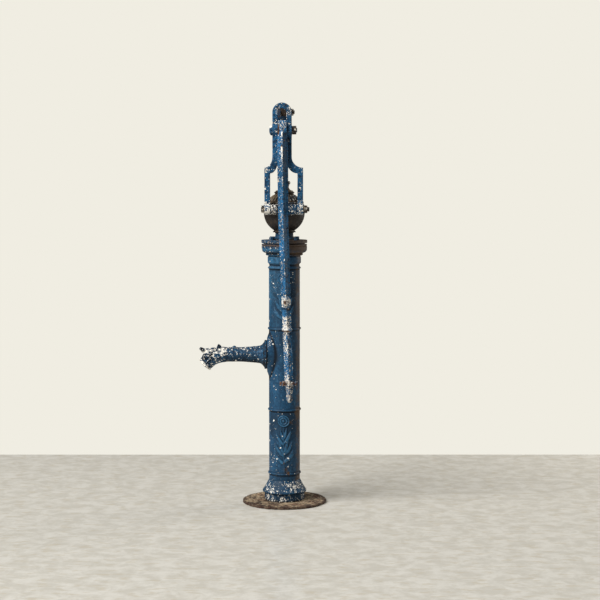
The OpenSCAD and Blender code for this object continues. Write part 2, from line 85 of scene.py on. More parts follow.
BASE_R, BASE_T = radius_of("base_plate"), heights("base_plate")[1]
FOOT_TOP = heights("column_foot")[1]
CAPITAL_Z, COLUMN_TOP = heights("column_capital")
CAPITAL_R = radius_of("column_capital")
BEAD = 4.0
SHAFT_R = radius_of("column") - BEAD
SHAFT_LOW, SHAFT_HIGH = heights("column")
BORE_R = SHAFT_R - 8
SPIGOT_R = BORE_R + 4
BEADS = (108.0, 338.0, 630.0)
NECK_BEAD = 847.5
GROOVE_LOW, GROOVE_HIGH = 852, 862
FRIEZE_LOW, FRIEZE_HIGH, FRIEZE_R = 866, 886, 59.5
NECK_R = 57.5
TORUS_LOW, TORUS_HIGH = 901, 915
BOSS_X = -node_box("column")[0][0]
BOSS_HALF_HEIGHT, BOSS_HALF_WIDTH = 62.0, 45.0
SPOUT_Z = sum(heights("spout_washer")) / 2
COVER_Z, COVER_TOP = heights("cover")
COVER_R = radius_of("cover")
COVER_PLATE_TOP = COVER_Z + 11
BOWL_Z, BELT_Z = heights("urn_bowl")
GLAND_Z = heights("urn_dome")[1]
STUFFING_LOW, GLAND_TOP = heights("stuffing_box")
CAP_TOP = heights("gland_cap")[1]
ROD_R = radius_of("piston_rod")
STUD_X, STUD_Y, STUD_Z = joint_place("fork_rock")
HUB_X, HUB_Y, HUB_Z = joint_place("lever_swing")
PIN_Z = sum(heights("rod_pin")) / 2
FORK_TOP = heights("fork")[1]
LEVER_TIP = heights("lever")[0]
OUTLET = next(m for m in frame["record"]["mounts"] if m["name"] == "spout_outlet")
MOUTH = np.array(OUTLET["pos_m"]) / MM

VOXEL = 1.15
BOLT_VOXEL, NUT_VOXEL = min(VOXEL, 1.2), min(VOXEL, 1.1)
FRONT = -90.0


# ---- Small tools ----


def smooth_step(value, low, high):
    """0 below low, 1 above high, and a smooth ramp between."""
    t = np.clip((value - low) / (high - low), 0, 1)
    return t * t * (3 - 2 * t)


def bump(value, centre, width):
    """1 at centre, falling smoothly to 0 at centre plus or minus width."""
    return 1 - smooth_step(np.abs(value - centre), 0, width)


def lattice_noise(points, size, seed=0):
    """Smooth noise from 0 to 1 whose lumps are about size millimetres across."""
    q = np.asarray(points, float) / size
    cell = np.floor(q).astype(np.int64)
    f = q - cell
    f = f * f * (3 - 2 * f)
    total = np.zeros(len(q))
    for corner in itertools.product((0, 1), repeat=3):
        c = cell + corner
        h = (c[:, 0] * 374761393 + c[:, 1] * 668265263 + c[:, 2] * 974634777 + seed * 144269) & 0xFFFFFFFF
        h = ((h ^ (h >> 13)) * 1274126177) & 0xFFFFFFFF
        h = (h ^ (h >> 16)) / 0xFFFFFFFF
        weight = np.prod(np.where(corner, f, 1 - f), axis=1)
        total += weight * h
    return total


def casting_noise(points, seed=0):
    """Unevenness of sand-cast, often repainted iron, from about -1 to 1."""
    return (
        1.1 * (lattice_noise(points, 19, seed) - 0.5)
        + 0.6 * (lattice_noise(points, 7, seed + 1) - 0.5)
        + 0.4 * (lattice_noise(points, 3, seed + 2) - 0.5)
    )


# ---- Distance shapes: functions of x, y, z that are negative inside ----


def join(a, b, soft=0.0):
    """Union of two shapes, with a fillet of about soft millimetres."""
    if soft <= 0:
        return np.minimum(a, b)
    h = np.clip(0.5 + 0.5 * (b - a) / soft, 0, 1)
    return b + (a - b) * h - soft * h * (1 - h)


def cut(a, b, soft=0.0):
    """Shape a less shape b."""
    return -join(-a, b, soft)


def both(a, b, soft=0.0):
    """Where both shapes are, with rounded edges."""
    return -join(-a, -b, soft)


def ball(x, y, z, centre, radii):
    """Ellipsoid."""
    a, b, c = (((place - middle) / r) ** 2 for place, middle, r in zip((x, y, z), centre, radii))
    return (np.sqrt(a + b + c) - 1) * min(radii)


def rod_between(x, y, z, a, b, ra, rb=None):
    """Round-ended rod from a to b, whose radius goes from ra to rb."""
    rb = ra if rb is None else rb
    a, b = np.array(a, float), np.array(b, float)
    d = b - a
    t = ((x - a[0]) * d[0] + (y - a[1]) * d[1] + (z - a[2]) * d[2]) / (d @ d)
    t = np.clip(t, 0, 1)
    gap = np.sqrt((x - a[0] - t * d[0]) ** 2 + (y - a[1] - t * d[1]) ** 2 + (z - a[2] - t * d[2]) ** 2)
    return gap - (ra + (rb - ra) * t)


def between(w, w0, w1):
    """Slab from w0 to w1."""
    return np.abs(w - (w0 + w1) / 2) - (w1 - w0) / 2


def disc_x(x, y, z, x0, x1, cy, cz, r):
    """Cylinder along X between x0 and x1."""
    return both(np.hypot(y - cy, z - cz) - r, between(x, x0, x1), 1.5)


def spin(u, v, angle):
    """The coordinates u and v on axes turned by angle in radians."""
    c, s = math.cos(angle), math.sin(angle)
    return u * c + v * s, v * c - u * s


def polygon(u, v, points):
    """Distance in the plane to a closed outline, negative inside."""
    best = np.full(np.broadcast(u, v).shape, 1e9)
    inside = np.zeros(best.shape, bool)
    for (ax, ay), (bx, by) in zip(points, points[1:] + points[:1]):
        dx, dy = bx - ax, by - ay
        if dx * dx + dy * dy < 1e-9:
            continue
        t = np.clip(((u - ax) * dx + (v - ay) * dy) / (dx * dx + dy * dy), 0, 1)
        best = np.minimum(best, (u - ax - t * dx) ** 2 + (v - ay - t * dy) ** 2)
        if ay != by:
            inside ^= ((ay > v) != (by > v)) & (u < (v - ay) * dx / dy + ax)
    return np.where(inside, -1, 1) * np.sqrt(best)


def quarter(p, q, n=8):
    """Quarter round from p, where it runs level, to q, where it runs upright."""
    turn = [math.radians(90 * i / n) for i in range(n + 1)]
    return [(p[0] + (q[0] - p[0]) * math.sin(t), p[1] + (q[1] - p[1]) * (1 - math.cos(t))) for t in turn]


def shoulder(p, q, n=8):
    """Quarter round from p, where it runs upright, to q, where it runs level."""
    turn = [math.radians(90 * i / n) for i in range(n + 1)]
    return [(p[0] + (q[0] - p[0]) * (1 - math.cos(t)), p[1] + (q[1] - p[1]) * math.sin(t)) for t in turn]


def round_corners(points, radius, n=3):
    """The closed outline with each corner cut by a short curve."""
    points = [np.array(p, float) for p in points]
    out = []
    for i, p in enumerate(points):
        a, b = points[i - 1] - p, points[(i + 1) % len(points)] - p
        la, lb = np.hypot(*a), np.hypot(*b)
        if la < 1e-6 or lb < 1e-6:
            continue
        reach = min(radius, la * 0.45, lb * 0.45)
        start, end = p + a / la * reach, p + b / lb * reach
        for k in range(n + 1):
            t = k / n
            out.append((1 - t) ** 2 * start + 2 * t * (1 - t) * p + t * t * end)
    return out


def subdivide(points, spacing):
    """The closed outline with points no further apart than spacing, a number or a function of the point."""
    out = []
    for a, b in zip(points, points[1:] + points[:1]):
        step = spacing((a + b) / 2) if callable(spacing) else spacing
        n = max(1, int(math.ceil(np.hypot(*(b - a)) / step)))
        out += [a + (b - a) * k / n for k in range(n)]
    return out


# ---- Meshes ----


def signed_volume(verts, quads):
    """Positive if the faces point outwards."""
    a, b, c, d = (verts[quads[:, i]] for i in range(4))
    return float(np.einsum("ij,ij->i", a, np.cross(b, c) + np.cross(c, d)).sum())


def make_piece(name, verts, quads, wear):
    """A mesh object from points in millimetres; wear gives its attributes at each point."""
    verts = np.asarray(verts, float)
    quads = np.asarray(quads, int)
    if signed_volume(verts, quads) < 0:
        quads = quads[:, ::-1]
    mesh = bpy.data.meshes.new(name)
    mesh.vertices.add(len(verts))
    mesh.vertices.foreach_set("co", (verts * MM).astype(np.float32).ravel())
    mesh.loops.add(quads.size)
    mesh.loops.foreach_set("vertex_index", quads.astype(np.int32).ravel())
    mesh.polygons.add(len(quads))
    mesh.polygons.foreach_set("loop_start", np.arange(0, quads.size, 4, dtype=np.int32))
    mesh.polygons.foreach_set("use_smooth", np.ones(len(quads), bool))
    mesh.update(calc_edges=True)
    mesh.validate()
    for key, values in wear(verts).items():
        values = np.broadcast_to(np.clip(values, 0, 1), len(verts))
        mesh.attributes.new(key, "FLOAT", "POINT").data.foreach_set("value", values.astype(np.float32))
    piece = bpy.data.objects.new(name, mesh)
    bpy.context.scene.collection.objects.link(piece)
    return piece


def finish_piece(piece, body, slot, material, *nodes):
    """Gives a piece its finish and its body, and hides the CAD nodes it stands for."""
    piece.data.materials.append(material)
    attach(piece, body)
    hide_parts(*nodes)


def skin_points(radius, height, turn):
    """Points in space of a turned skin, one row each."""
    return np.stack([radius * np.cos(turn), radius * np.sin(turn), height], -1).reshape(-1, 3)


def rough_skin(radius, height, turn, amount, seed):
    """A turned skin's radius and height, uneven like a casting by about amount millimetres."""
    noise = casting_noise(skin_points(radius, height, turn), seed)
    return radius + amount * noise.reshape(radius.shape), height


def lathe(name, outline, angles, wear, shape=None):
    """Turned piece from a closed outline of radius and height; shape may move its points."""
    outline = np.array(outline)
    turn = np.radians(np.asarray(angles, float))
    radius = np.repeat(outline[:, :1], len(turn), 1)
    height = np.repeat(outline[:, 1:], len(turn), 1)
    turn = np.broadcast_to(turn, radius.shape)
    if shape:
        radius, height = shape(radius, height, turn)
    verts = skin_points(radius, height, turn)
    rows, columns = radius.shape
    index = np.arange(rows * columns).reshape(rows, columns)
    below, beside = np.roll(index, -1, 0), np.roll(index, -1, 1)
    quads = np.stack([index, beside, np.roll(below, -1, 1), below], -1).reshape(-1, 4)
    return make_piece(name, verts, quads, wear)


def turned(name, node, corners, rounding, spacing, angles, wear, shape, slot, material):
    """Turned piece of the column from the corners of its outline, finished; angles may be their number."""
    if isinstance(angles, int):
        angles = np.arange(angles) * 360.0 / angles
    outline = subdivide(round_corners(corners, rounding), spacing)
    finish_piece(lathe(name, outline, angles, wear, shape), "column", slot, material, node)


def surface_of(shape, low, high, step):
    """Points and quads of a distance shape's skin, on a grid of step millimetres."""
    low, high = np.array(low, float) - 2 * step, np.array(high, float) + 2 * step
    count = np.ceil((high - low) / step).astype(int) + 1
    axes = [low[i] + step * np.arange(count[i]) for i in range(3)]
    grid = axes[0][:, None, None], axes[1][None, :, None], axes[2][None, None, :]
    field = np.broadcast_to(shape(*grid), tuple(count)).astype(np.float32)
    inside = field < 0
    cells = count - 1
    strides = np.array([cells[1] * cells[2], cells[2], 1])
    hits, places, faces = [], [], []
    for axis in range(3):
        lower = [slice(None)] * 3
        upper = [slice(None)] * 3
        lower[axis], upper[axis] = slice(None, -1), slice(1, None)
        at = np.argwhere(inside[tuple(lower)] != inside[tuple(upper)])
        f0 = field[tuple(at.T)]
        beyond = at.copy()
        beyond[:, axis] += 1
        f1 = field[tuple(beyond.T)]
        place = at.astype(float)
        place[:, axis] += f0 / (f0 - f1)
        one, two = (axis + 1) % 3, (axis + 2) % 3
        around = []
        for back_one, back_two in ((0, 0), (1, 0), (1, 1), (0, 1)):
            cell = at.copy()
            cell[:, one] -= back_one
            cell[:, two] -= back_two
            around.append(cell @ strides)
            hits.append(around[-1])
            places.append(place)
        quad = np.stack(around, 1)
        faces.append(np.where((f0 < 0)[:, None], quad, quad[:, ::-1]))
    hits, places, faces = np.concatenate(hits), np.concatenate(places), np.concatenate(faces)
    used, index = np.unique(hits, return_inverse=True)
    share = np.bincount(index)
    verts = np.stack([np.bincount(index, places[:, i]) / share for i in range(3)], 1)
    return low + verts * step, np.searchsorted(used, faces)


def gradient(shape, p, h=0.2):
    """Unit outward direction of a distance shape at points p."""
    out = np.zeros_like(p)
    for i in range(3):
        step = np.zeros(3)
        step[i] = h
        out[:, i] = shape(*(p + step).T) - shape(*(p - step).T)
    return out / np.maximum(np.linalg.norm(out, axis=1, keepdims=True), 1e-9)


def sculpt(name, shape, low, high, wear, rough, seed, step=VOXEL):
    """Cast piece from a distance shape, pulled onto the true surface and made a little uneven."""
    verts, quads = surface_of(shape, low, high, step)
    for _ in range(2):
        verts = verts - gradient(shape, verts) * np.clip(shape(*verts.T), -0.6, 0.6)[:, None]
    verts = verts + gradient(shape, verts) * (rough * casting_noise(verts, seed))[:, None]
    return make_piece(name, verts, quads, wear)


# ---- Materials ----


def srgb(r, g, b):
    """Linear colour from 0 to 255 display values."""
    shares = (r / 255, g / 255, b / 255)
    return tuple(c / 12.92 if c <= 0.04045 else ((c + 0.055) / 1.055) ** 2.4 for c in shares) + (1.0,)


class Shader:
    """A material and short ways to add nodes to it."""

    def __init__(self, name):
        self.material = bpy.data.materials.new(name)
        self.material.use_nodes = True
        self.tree = self.material.node_tree
        self.surface = self.tree.nodes["Principled BSDF"]
        self.place = self.tree.nodes.new("ShaderNodeTexCoord").outputs["Object"]

    def link(self, value, socket):
        if isinstance(value, bpy.types.NodeSocket):
            self.tree.links.new(value, socket)
        else:
            socket.default_value = value

    def add(self, kind, inputs, **settings):
        """Outputs of a new node; its inputs are numbers, colours or other nodes' outputs."""
        node = self.tree.nodes.new("ShaderNode" + kind)
        for key, value in settings.items():
            setattr(node, key, value)
        for key, value in inputs.items():
            self.link(value, node.inputs[key])
        return node.outputs

    def noise(self, scale, detail=3.0, roughness=0.55, stretch=None, distortion=0.0):
        place = self.place
        if stretch:
            place = self.add("Mapping", {"Scale": stretch, "Vector": place})["Vector"]
        grain = {"Scale": scale, "Detail": detail, "Roughness": roughness, "Distortion": distortion}
        return self.add("TexNoise", {**grain, "Vector": place})["Fac"]

    def cells(self, scale):
        return self.add("TexVoronoi", {"Scale": scale, "Vector": self.place})

    def flecks(self, scale, share):
        """1 on small separate flecks; share says how many of the places have one."""
        cells = self.cells(scale)
        chance = self.add("SeparateColor", {"Color": cells["Color"]})
        chosen = self.ramp(self.minus(share, chance["Red"]), 0.0, 0.03)
        size = self.math("MULTIPLY_ADD", chance["Green"], 0.16, 0.36)
        reach = self.math("MULTIPLY_ADD", self.noise(scale * 2.7, 2, 0.5), 0.5, cells["Distance"])
        return self.times(chosen, self.ramp(self.minus(size, reach), -0.03, 0.03))

    def attribute(self, name):
        return self.add("Attribute", {}, attribute_name=name)["Fac"]

    def math(self, operation, a, b=0.0, c=0.0):
        return self.add("Math", dict(enumerate((a, b, c))), operation=operation)[0]

    def plus(self, a, b):
        return self.math("ADD", a, b)

    def minus(self, a, b):
        return self.math("SUBTRACT", a, b)

    def times(self, a, b):
        return self.math("MULTIPLY", a, b)

    def larger(self, a, b):
        return self.math("MAXIMUM", a, b)

    def ramp(self, value, low, high, to_low=0.0, to_high=1.0):
        """Smooth change from to_low to to_high as value goes from low to high."""
        limits = {"From Min": low, "From Max": high, "To Min": to_low, "To Max": to_high}
        return self.add("MapRange", {"Value": value, **limits}, interpolation_type="SMOOTHSTEP")["Result"]

    def mix(self, share, a, b, data_type="RGBA"):
        """Colour a where share is 0 and b where it is 1."""
        return self.add("Mix", {"Factor": share, "A": a, "B": b}, data_type=data_type)["Result"]

    def blend(self, share, a, b):
        """Number a where share is 0 and b where it is 1."""
        return self.mix(share, a, b, "FLOAT")

    def relief(self, height, depth):
        """Bump from a height of 0 to 1 that stands depth millimetres."""
        bump_node = self.add("Bump", {"Distance": depth * MM, "Height": height})
        self.link(bump_node["Normal"], self.surface.inputs["Normal"])

    def finish(self, colour, roughness, metallic=0.0, specular=0.5):
        self.link(colour, self.surface.inputs["Base Color"])
        self.link(roughness, self.surface.inputs["Roughness"])
        self.link(metallic, self.surface.inputs["Metallic"])
        self.surface.inputs["Specular IOR Level"].default_value = specular
        return self.material


BLUE = (26, 69, 101)
BLUE_DARK = (12, 26, 46)
BLUE_LIGHT = (59, 115, 153)
CREAM = (245, 242, 233)
CREAM_DIRTY = (166, 150, 128)
RUST = (98, 66, 46)
RUST_DARK = (40, 30, 25)


def rust_colour(s):
    """Patchy brown of rusted iron."""
    patches = s.ramp(s.noise(130, 5, 0.65), 0.38, 0.62)
    brown = s.mix(patches, srgb(*RUST_DARK), srgb(*RUST))
    return s.mix(s.ramp(s.noise(420, 3, 0.6), 0.52, 0.7), brown, srgb(138, 98, 66))


def cream_colour(s):
    """Old undercoat, whitish with brown dirt in it."""
    dirt = s.ramp(s.noise(170, 4, 0.65), 0.5, 0.72)
    return s.mix(dirt, srgb(*CREAM), srgb(*CREAM_DIRTY))


def worn_paint(name, tone, mottling, flake=150):
    """Blue paint that flakes off a cream undercoat and rusty iron.

    The attributes chip, rust, grime and worn say where on a piece it does so. The near-black darkening is dirt
    and, mostly, painted shade in creases, gaps, hollows, under parts and on shaded sides; the brown film is rust
    and also painted shade on the sides away from the light; the pale blue lightening is wear and also painted
    highlight on lit sides and relief tops."""
    s = Shader(name)
    chip, rust, grime = (s.attribute(key) for key in ("chip", "rust", "grime"))
    coarse, fine = s.noise(flake, 3, 0.6, distortion=0.6), s.noise(flake * 2.8, 3, 0.6)
    field = s.plus(s.times(coarse, 0.66), s.times(fine, 0.34))
    limit = s.math("MULTIPLY_ADD", chip, -0.34, 0.74)
    patches = s.ramp(s.minus(field, limit), -0.006, 0.008)
    spots = s.larger(s.flecks(74, s.times(chip, 0.8)), s.flecks(135, s.times(chip, 0.7)))
    specks = s.flecks(225, s.times(chip, 0.45))
    holes = s.minus(1.0, s.flecks(168, 0.42))
    bare = s.larger(s.larger(s.times(patches, holes), spots), specks)
    deep = s.ramp(s.plus(s.times(s.noise(95, 4, 0.6), 0.5), rust), 0.42, 0.62)
    tones = s.ramp(s.noise(14, 4, 0.55), 0.32, 0.68)
    light = tuple(min(255, c * tone * 1.12) for c in BLUE)
    dark = tuple(c * tone * 0.84 for c in BLUE)
    blue = s.mix(tones, srgb(*dark), srgb(*light))
    streaks = s.ramp(s.noise(34, 4, 0.6, stretch=(2.2, 2.2, 0.35)), 0.52, 0.78, 0.0, 0.4)
    # Pale blue lightening: wear, and painted highlight on lit sides, lit edges and relief tops.
    worn = s.times(s.attribute("worn"), s.ramp(s.noise(120, 3, 0.6), 0.3, 0.6, 0.35, 1.0))
    blue = s.mix(s.larger(streaks, s.times(worn, 0.7)), blue, srgb(*BLUE_LIGHT))
    pale = s.ramp(s.noise(128, 3, 0.6, distortion=0.4), 0.53, 0.66, 0.0, 0.55 * mottling)
    blue = s.mix(pale, blue, srgb(*BLUE_LIGHT))
    mottle = s.ramp(s.noise(112, 4, 0.65), 0.46, 0.62, 0.0, mottling)
    blue = s.mix(mottle, blue, srgb(*BLUE_DARK))
    # Near-black darkening: dirt, and painted shade in creases, gaps, hollows, under parts and on shaded sides.
    blue = s.mix(s.times(grime, 0.9), blue, srgb(14, 15, 18))
    # Brown film: rust, and painted shade on the sides away from the light.
    film = s.ramp(s.plus(s.times(s.noise(48, 4, 0.6), 0.6), rust), 0.62, 0.95, 0.0, 0.85)
    blue = s.mix(film, blue, srgb(84, 68, 54))
    under = s.mix(deep, cream_colour(s), rust_colour(s))
    colour = s.mix(bare, blue, under)
    sheen = s.blend(s.math("MINIMUM", grime, 1.0), s.ramp(s.noise(90, 3), 0.3, 0.7, 0.4, 0.56), 0.95)
    rough = s.blend(bare, sheen, s.blend(deep, 0.62, 0.85))
    height = s.plus(s.times(s.minus(1.0, bare), 0.55), s.times(s.noise(420, 4, 0.6), 0.45))
    s.relief(height, 0.8)
    return s.finish(colour, rough, specular=0.24)


def dark_iron(name, base, warm, polish):
    """Bare cast iron, dark with brown bloom, and cream chips where chip says so."""
    s = Shader(name)
    chip, rust, grime = (s.attribute(key) for key in ("chip", "rust", "grime"))
    bloom = s.plus(s.noise(64, 5, 0.62, stretch=(1.5, 1.5, 0.5)), s.times(rust, 0.3))
    colour = s.mix(s.ramp(bloom, 0.45, 0.72), srgb(*base), srgb(*warm))
    colour = s.mix(s.ramp(s.noise(300, 3, 0.6), 0.55, 0.75, 0.0, 0.5), colour, srgb(26, 23, 21))
    # Light brown lightening: wear, and painted highlight on the lit left side of the dome's ribs and belt.
    worn = s.times(s.attribute("worn"), s.ramp(s.noise(150, 3, 0.6), 0.3, 0.6, 0.4, 1.0))
    colour = s.mix(worn, colour, srgb(142, 124, 98))
    # Near-black darkening: dirt, and painted shade in the gaps between the dome's lobes, under flanges and on
    # shaded sides.
    colour = s.mix(s.times(grime, 0.85), colour, srgb(13, 11, 10))
    field = s.plus(s.times(s.noise(200, 5, 0.62), 0.7), s.times(s.noise(640, 3, 0.6), 0.3))
    bare = s.ramp(s.minus(field, s.math("MULTIPLY_ADD", chip, -0.36, 0.76)), -0.008, 0.01)
    bare = s.larger(bare, s.flecks(110, s.times(chip, 0.7)))
    tint = s.ramp(s.minus(s.noise(124, 3), s.times(s.attribute("blue"), 0.17)), 0.40, 0.44)
    colour = s.mix(bare, colour, s.mix(tint, srgb(*BLUE), cream_colour(s)))
    rough = s.ramp(s.noise(120, 4, 0.6), 0.3, 0.7, polish, polish + 0.25)
    s.relief(s.plus(s.times(s.noise(260, 5, 0.6), 0.7), s.times(bare, 0.3)), 0.5)
    return s.finish(colour, rough, specular=0.34)


def rusty_plate(name):
    """Base plate: rust and grey scale with pale dirt trodden into it."""
    s = Shader(name)
    edge = s.attribute("edge")
    coarse = s.noise(38, 5, 0.62, distortion=0.5)
    colour = s.mix(s.ramp(coarse, 0.42, 0.57), srgb(60, 42, 32), srgb(168, 148, 121))
    colour = s.mix(s.ramp(s.noise(100, 5, 0.68), 0.5, 0.59), colour, srgb(34, 24, 19))
    colour = s.mix(s.ramp(s.noise(210, 4, 0.6), 0.56, 0.66, 0.0, 0.85), colour, srgb(192, 180, 158))
    colour = s.mix(s.ramp(s.noise(55, 4, 0.6), 0.52, 0.64, 0.0, 0.6), colour, srgb(108, 62, 38))
    colour = s.mix(s.times(edge, 0.78), colour, srgb(50, 30, 22))
    s.relief(s.plus(s.times(coarse, 0.6), s.times(s.noise(240, 5, 0.6), 0.4)), 1.4)
    return s.finish(colour, s.ramp(s.noise(130, 3), 0.3, 0.7, 0.7, 0.92), specular=0.35)


def fine_metal(name, light, dark, rough, metallic):
    """Machined metal with fine marks along it and a dull bloom."""
    s = Shader(name)
    marks = s.noise(180, 4, 0.6, stretch=(1.0, 1.0, 6.0))
    colour = s.mix(s.ramp(marks, 0.35, 0.7), srgb(*light), srgb(*dark))
    colour = s.mix(s.ramp(s.noise(60, 4, 0.6), 0.6, 0.75, 0.0, 0.6), colour, srgb(*dark))
    s.relief(marks, 0.08)
    return s.finish(colour, s.ramp(marks, 0.3, 0.7, rough, rough + 0.18), metallic=metallic)


def soft_seal(name, light, dark, scale):
    """Leather or hemp with a fine grain."""
    s = Shader(name)
    grain = s.cells(scale)["Distance"]
    colour = s.mix(s.ramp(grain, 0.1, 0.6), srgb(*dark), srgb(*light))
    colour = s.mix(s.ramp(s.noise(70, 4, 0.6), 0.45, 0.7, 0.0, 0.6), colour, srgb(*dark))
    s.relief(grain, 0.25)
    return s.finish(colour, s.ramp(s.noise(90, 3), 0.3, 0.7, 0.6, 0.85), specular=0.3)


COLUMN_PAINT = worn_paint("column_paint", 0.92, 0.45)
FORK_PAINT = worn_paint("fork_paint", 1.22, 0.8)
LEVER_PAINT = worn_paint("lever_paint", 1.4, 0.75, flake=170)
SPOUT_PAINT = worn_paint("spout_paint", 0.9, 0.9, flake=125)
URN_IRON = dark_iron("urn_iron", (29, 25, 24), (54, 43, 34), 0.42)
GLAND_IRON = dark_iron("gland_iron", (50, 42, 34), (88, 70, 50), 0.36)
BOLT_IRON = dark_iron("bolt_iron", (38, 34, 32), (74, 56, 42), 0.4)
PLATE_IRON = rusty_plate("plate_iron")
PIPE_IRON = fine_metal("pipe_iron", (128, 124, 118), (86, 78, 70), 0.5, 0.7)
ROD_STEEL = fine_metal("rod_steel", (168, 164, 156), (96, 88, 80), 0.28, 0.9)
BRASS = fine_metal("turned_brass", (196, 160, 92), (128, 98, 52), 0.3, 0.9)
LEATHER = soft_seal("greased_leather", (46, 34, 26), (20, 15, 12), 520)
HEMP = soft_seal("hemp_cord", (168, 142, 102), (104, 82, 54), 380)


# ---- Base plate ----


def base_wear(p):
    r = np.hypot(p[:, 0], p[:, 1])
    return {"edge": smooth_step(r, BASE_R - 14, BASE_R - 2)}


def base_shape(radius, height, turn):
    """Wavy, chipped rim and a slightly scaly top."""
    p = skin_points(radius, height, turn)
    rim = smooth_step(radius, BASE_R - 16, BASE_R)
    lumps = lattice_noise(p * (1, 1, 0.2), 26, 3).reshape(radius.shape)
    bites = smooth_step(lattice_noise(p, 11, 5).reshape(radius.shape), 0.62, 0.9)
    radius = radius - rim * (2.2 * lumps + 3.0 * bites)
    top = smooth_step(height, BASE_T - 3.5, BASE_T)
    scale = lattice_noise(p, 9, 8).reshape(radius.shape) - 0.5
    return radius, height + top * (0.9 * scale - 0.5 * rim)


def build_base():
    hole = radius_of("suction_pipe")
    corners = [(hole, 0), (BASE_R - 2, 0), (BASE_R, 2), (BASE_R, BASE_T - 3), (BASE_R - 3, BASE_T)]
    corners += [(hole, BASE_T)]
    turned("cast_base_plate", "base_plate", corners, 1.6, 2.6, 288, base_wear, base_shape, "base_iron",
           PLATE_IRON)


# ---- Column ----


def foot_wear(p):
    """Paint loss on the bell-shaped foot, heaviest round its front and on its plinth."""
    y, z = p.T[1:]
    front = smooth_step(-y, -20, 40)
    bell = smooth_step(z, 38, 46) * (1 - smooth_step(z, 70, 88))
    patches = smooth_step(lattice_noise(p, 24, 11), 0.38, 0.62)
    plinth = 1 - smooth_step(z, 34, 38)
    # The darkening in the creases at the top of the plinth and at the base plate, and on the plinth under the
    # bell, is painted shade; the bell is also darkened a little.
    crease = bump(z, 38.5, 4) + bump(z, BASE_T, 8)
    chip = 0.22 + bell * (0.08 + 0.29 * patches) * (0.6 + 0.4 * front) + plinth * (0.12 + 0.24 * patches)
    return {"chip": chip, "rust": 0.04 + 0.16 * bump(z, BASE_T, 16),
            "grime": crease + 0.4 * plinth + 0.22 * bell}


def build_foot():
    outside = [(72, BASE_T), (72, 36), (70, 38)] + quarter((73, 38), (79, 41), 4) + [(79, 45)]
    outside += [(72, 54), (66, 64), (60, 76), (SHAFT_R - 0.2, FOOT_TOP)]
    inside = [(SPIGOT_R, FOOT_TOP), (SPIGOT_R, SHAFT_LOW), (60, 42), (60, BASE_T + 10), (40, BASE_T + 10)]
    corners = outside + inside + [(40, BASE_T)]
    shape = functools.partial(rough_skin, amount=0.5, seed=30)
    turned("cast_column_foot", "column_foot", corners, 1.3, 2.2, 256, foot_wear, shape, "blue_iron",
           COLUMN_PAINT)


# The spray of leaves cast on the shaft, on each side of its stem. Each leaf starts on the stem, rise
# millimetres above the section's foot; the numbers are rise, reach sideways, climb, how far out the
# leaf has bent by half way, and half width.
LEAVES = (
    (38, 43, 30, 0.5, 7.6),
    (34, 40, 52, 0.66, 7.6),
    (62, 35, 54, 0.62, 7.4),
    (70, 20, 62, 0.50, 6.4),
    (104, 31, 50, 0.55, 6.8),
    (120, 14, 44, 0.40, 5.4),
)
ROSETTE_R = 22.0
ROSETTE_DROP = 37.0


def leaf_height(s, z, base, tip, bend, half):
    """Height of one curved leaf with a sunk midrib."""
    t = np.linspace(0, 1, 26)
    route = [(1 - t) ** 2 * base[i] + 2 * t * (1 - t) * bend[i] + t * t * tip[i] for i in (0, 1)]
    width = half * np.clip(np.sin(np.pi * np.clip(t, 0, 1) ** 0.72), 0.0, 1) + 0.6 * (1 - t)
    best = np.full(s.shape, 9.0)
    along = np.zeros(s.shape)
    for cs, cz, w, share in zip(*route, width, t):
        gap = np.hypot(s - cs, z - cz) / max(w, 0.7)
        nearer = gap < best
        best = np.where(nearer, gap, best)
        along = np.where(nearer, share, along)
    body = np.sqrt(np.clip(1 - best, 0, 1)) * (5.0 - 1.0 * along)
    midrib = 1.5 * np.exp(-(((best * half) / 1.2) ** 2)) * (best < 1)
    return body - midrib


def rosette_height(s, z):
    """Round flower of rings, like the end of a rolled cord."""
    d = np.hypot(s, z)
    disc = 1.6 * (1 - smooth_step(d, ROSETTE_R - 2.5, ROSETTE_R))
    rings = sum(3.4 * np.exp(-(((d - r) / 2.1) ** 2)) for r in (11.0, 18.5))
    button = 3.4 * (1 - smooth_step(d, 2.0, 5.5))
    return disc + rings + button


def spray_height(s, z, foot, top):
    """Relief of one decorated section: a rosette above a spray of leaves."""
    u = s + 2.5 * smooth_step(z, foot, top)
    rosette_z = top - ROSETTE_DROP
    stem_top = rosette_z - ROSETTE_R + 2
    stem = (z > foot + 5) & (z < stem_top)
    thick = 3.4 - 1.6 * (z - foot) / (stem_top - foot)
    out = np.where(stem, 2.6 * np.sqrt(np.clip(1 - (u / thick) ** 2, 0, 1)), 0.0)
    scale = (stem_top - foot) / 175.0
    for rise, reach, climb, share, half in LEAVES:
        for side in (-1, 1):
            base = (side * 1.0, foot + 4 + (rise + 7 * (side > 0)) * scale)
            tip = (side * reach * (1.0 if side < 0 else 0.86), base[1] + climb * scale)
            bend = (side * reach * share, base[1] + climb * 0.3 * scale)
            out = np.maximum(out, leaf_height(u, z, base, tip, bend, half))
    return np.maximum(out, rosette_height(u, z - rosette_z))


def shaft_relief(height, turn):
    """Relief on the shaft's front and back."""
    total = np.zeros(height.shape)
    for facing in (FRONT, -FRONT):
        away = (np.degrees(turn) - facing + 180) % 360 - 180
        s = np.radians(away) * SHAFT_R
        near = np.abs(s) < 62
        for foot, top in ((BEADS[0], BEADS[1]), (BEADS[2], NECK_BEAD)):
            zone = near & (height > foot) & (height < top)
            if zone.any():
                total[zone] = np.maximum(total[zone], spray_height(s[zone], height[zone], foot, top))
    return total


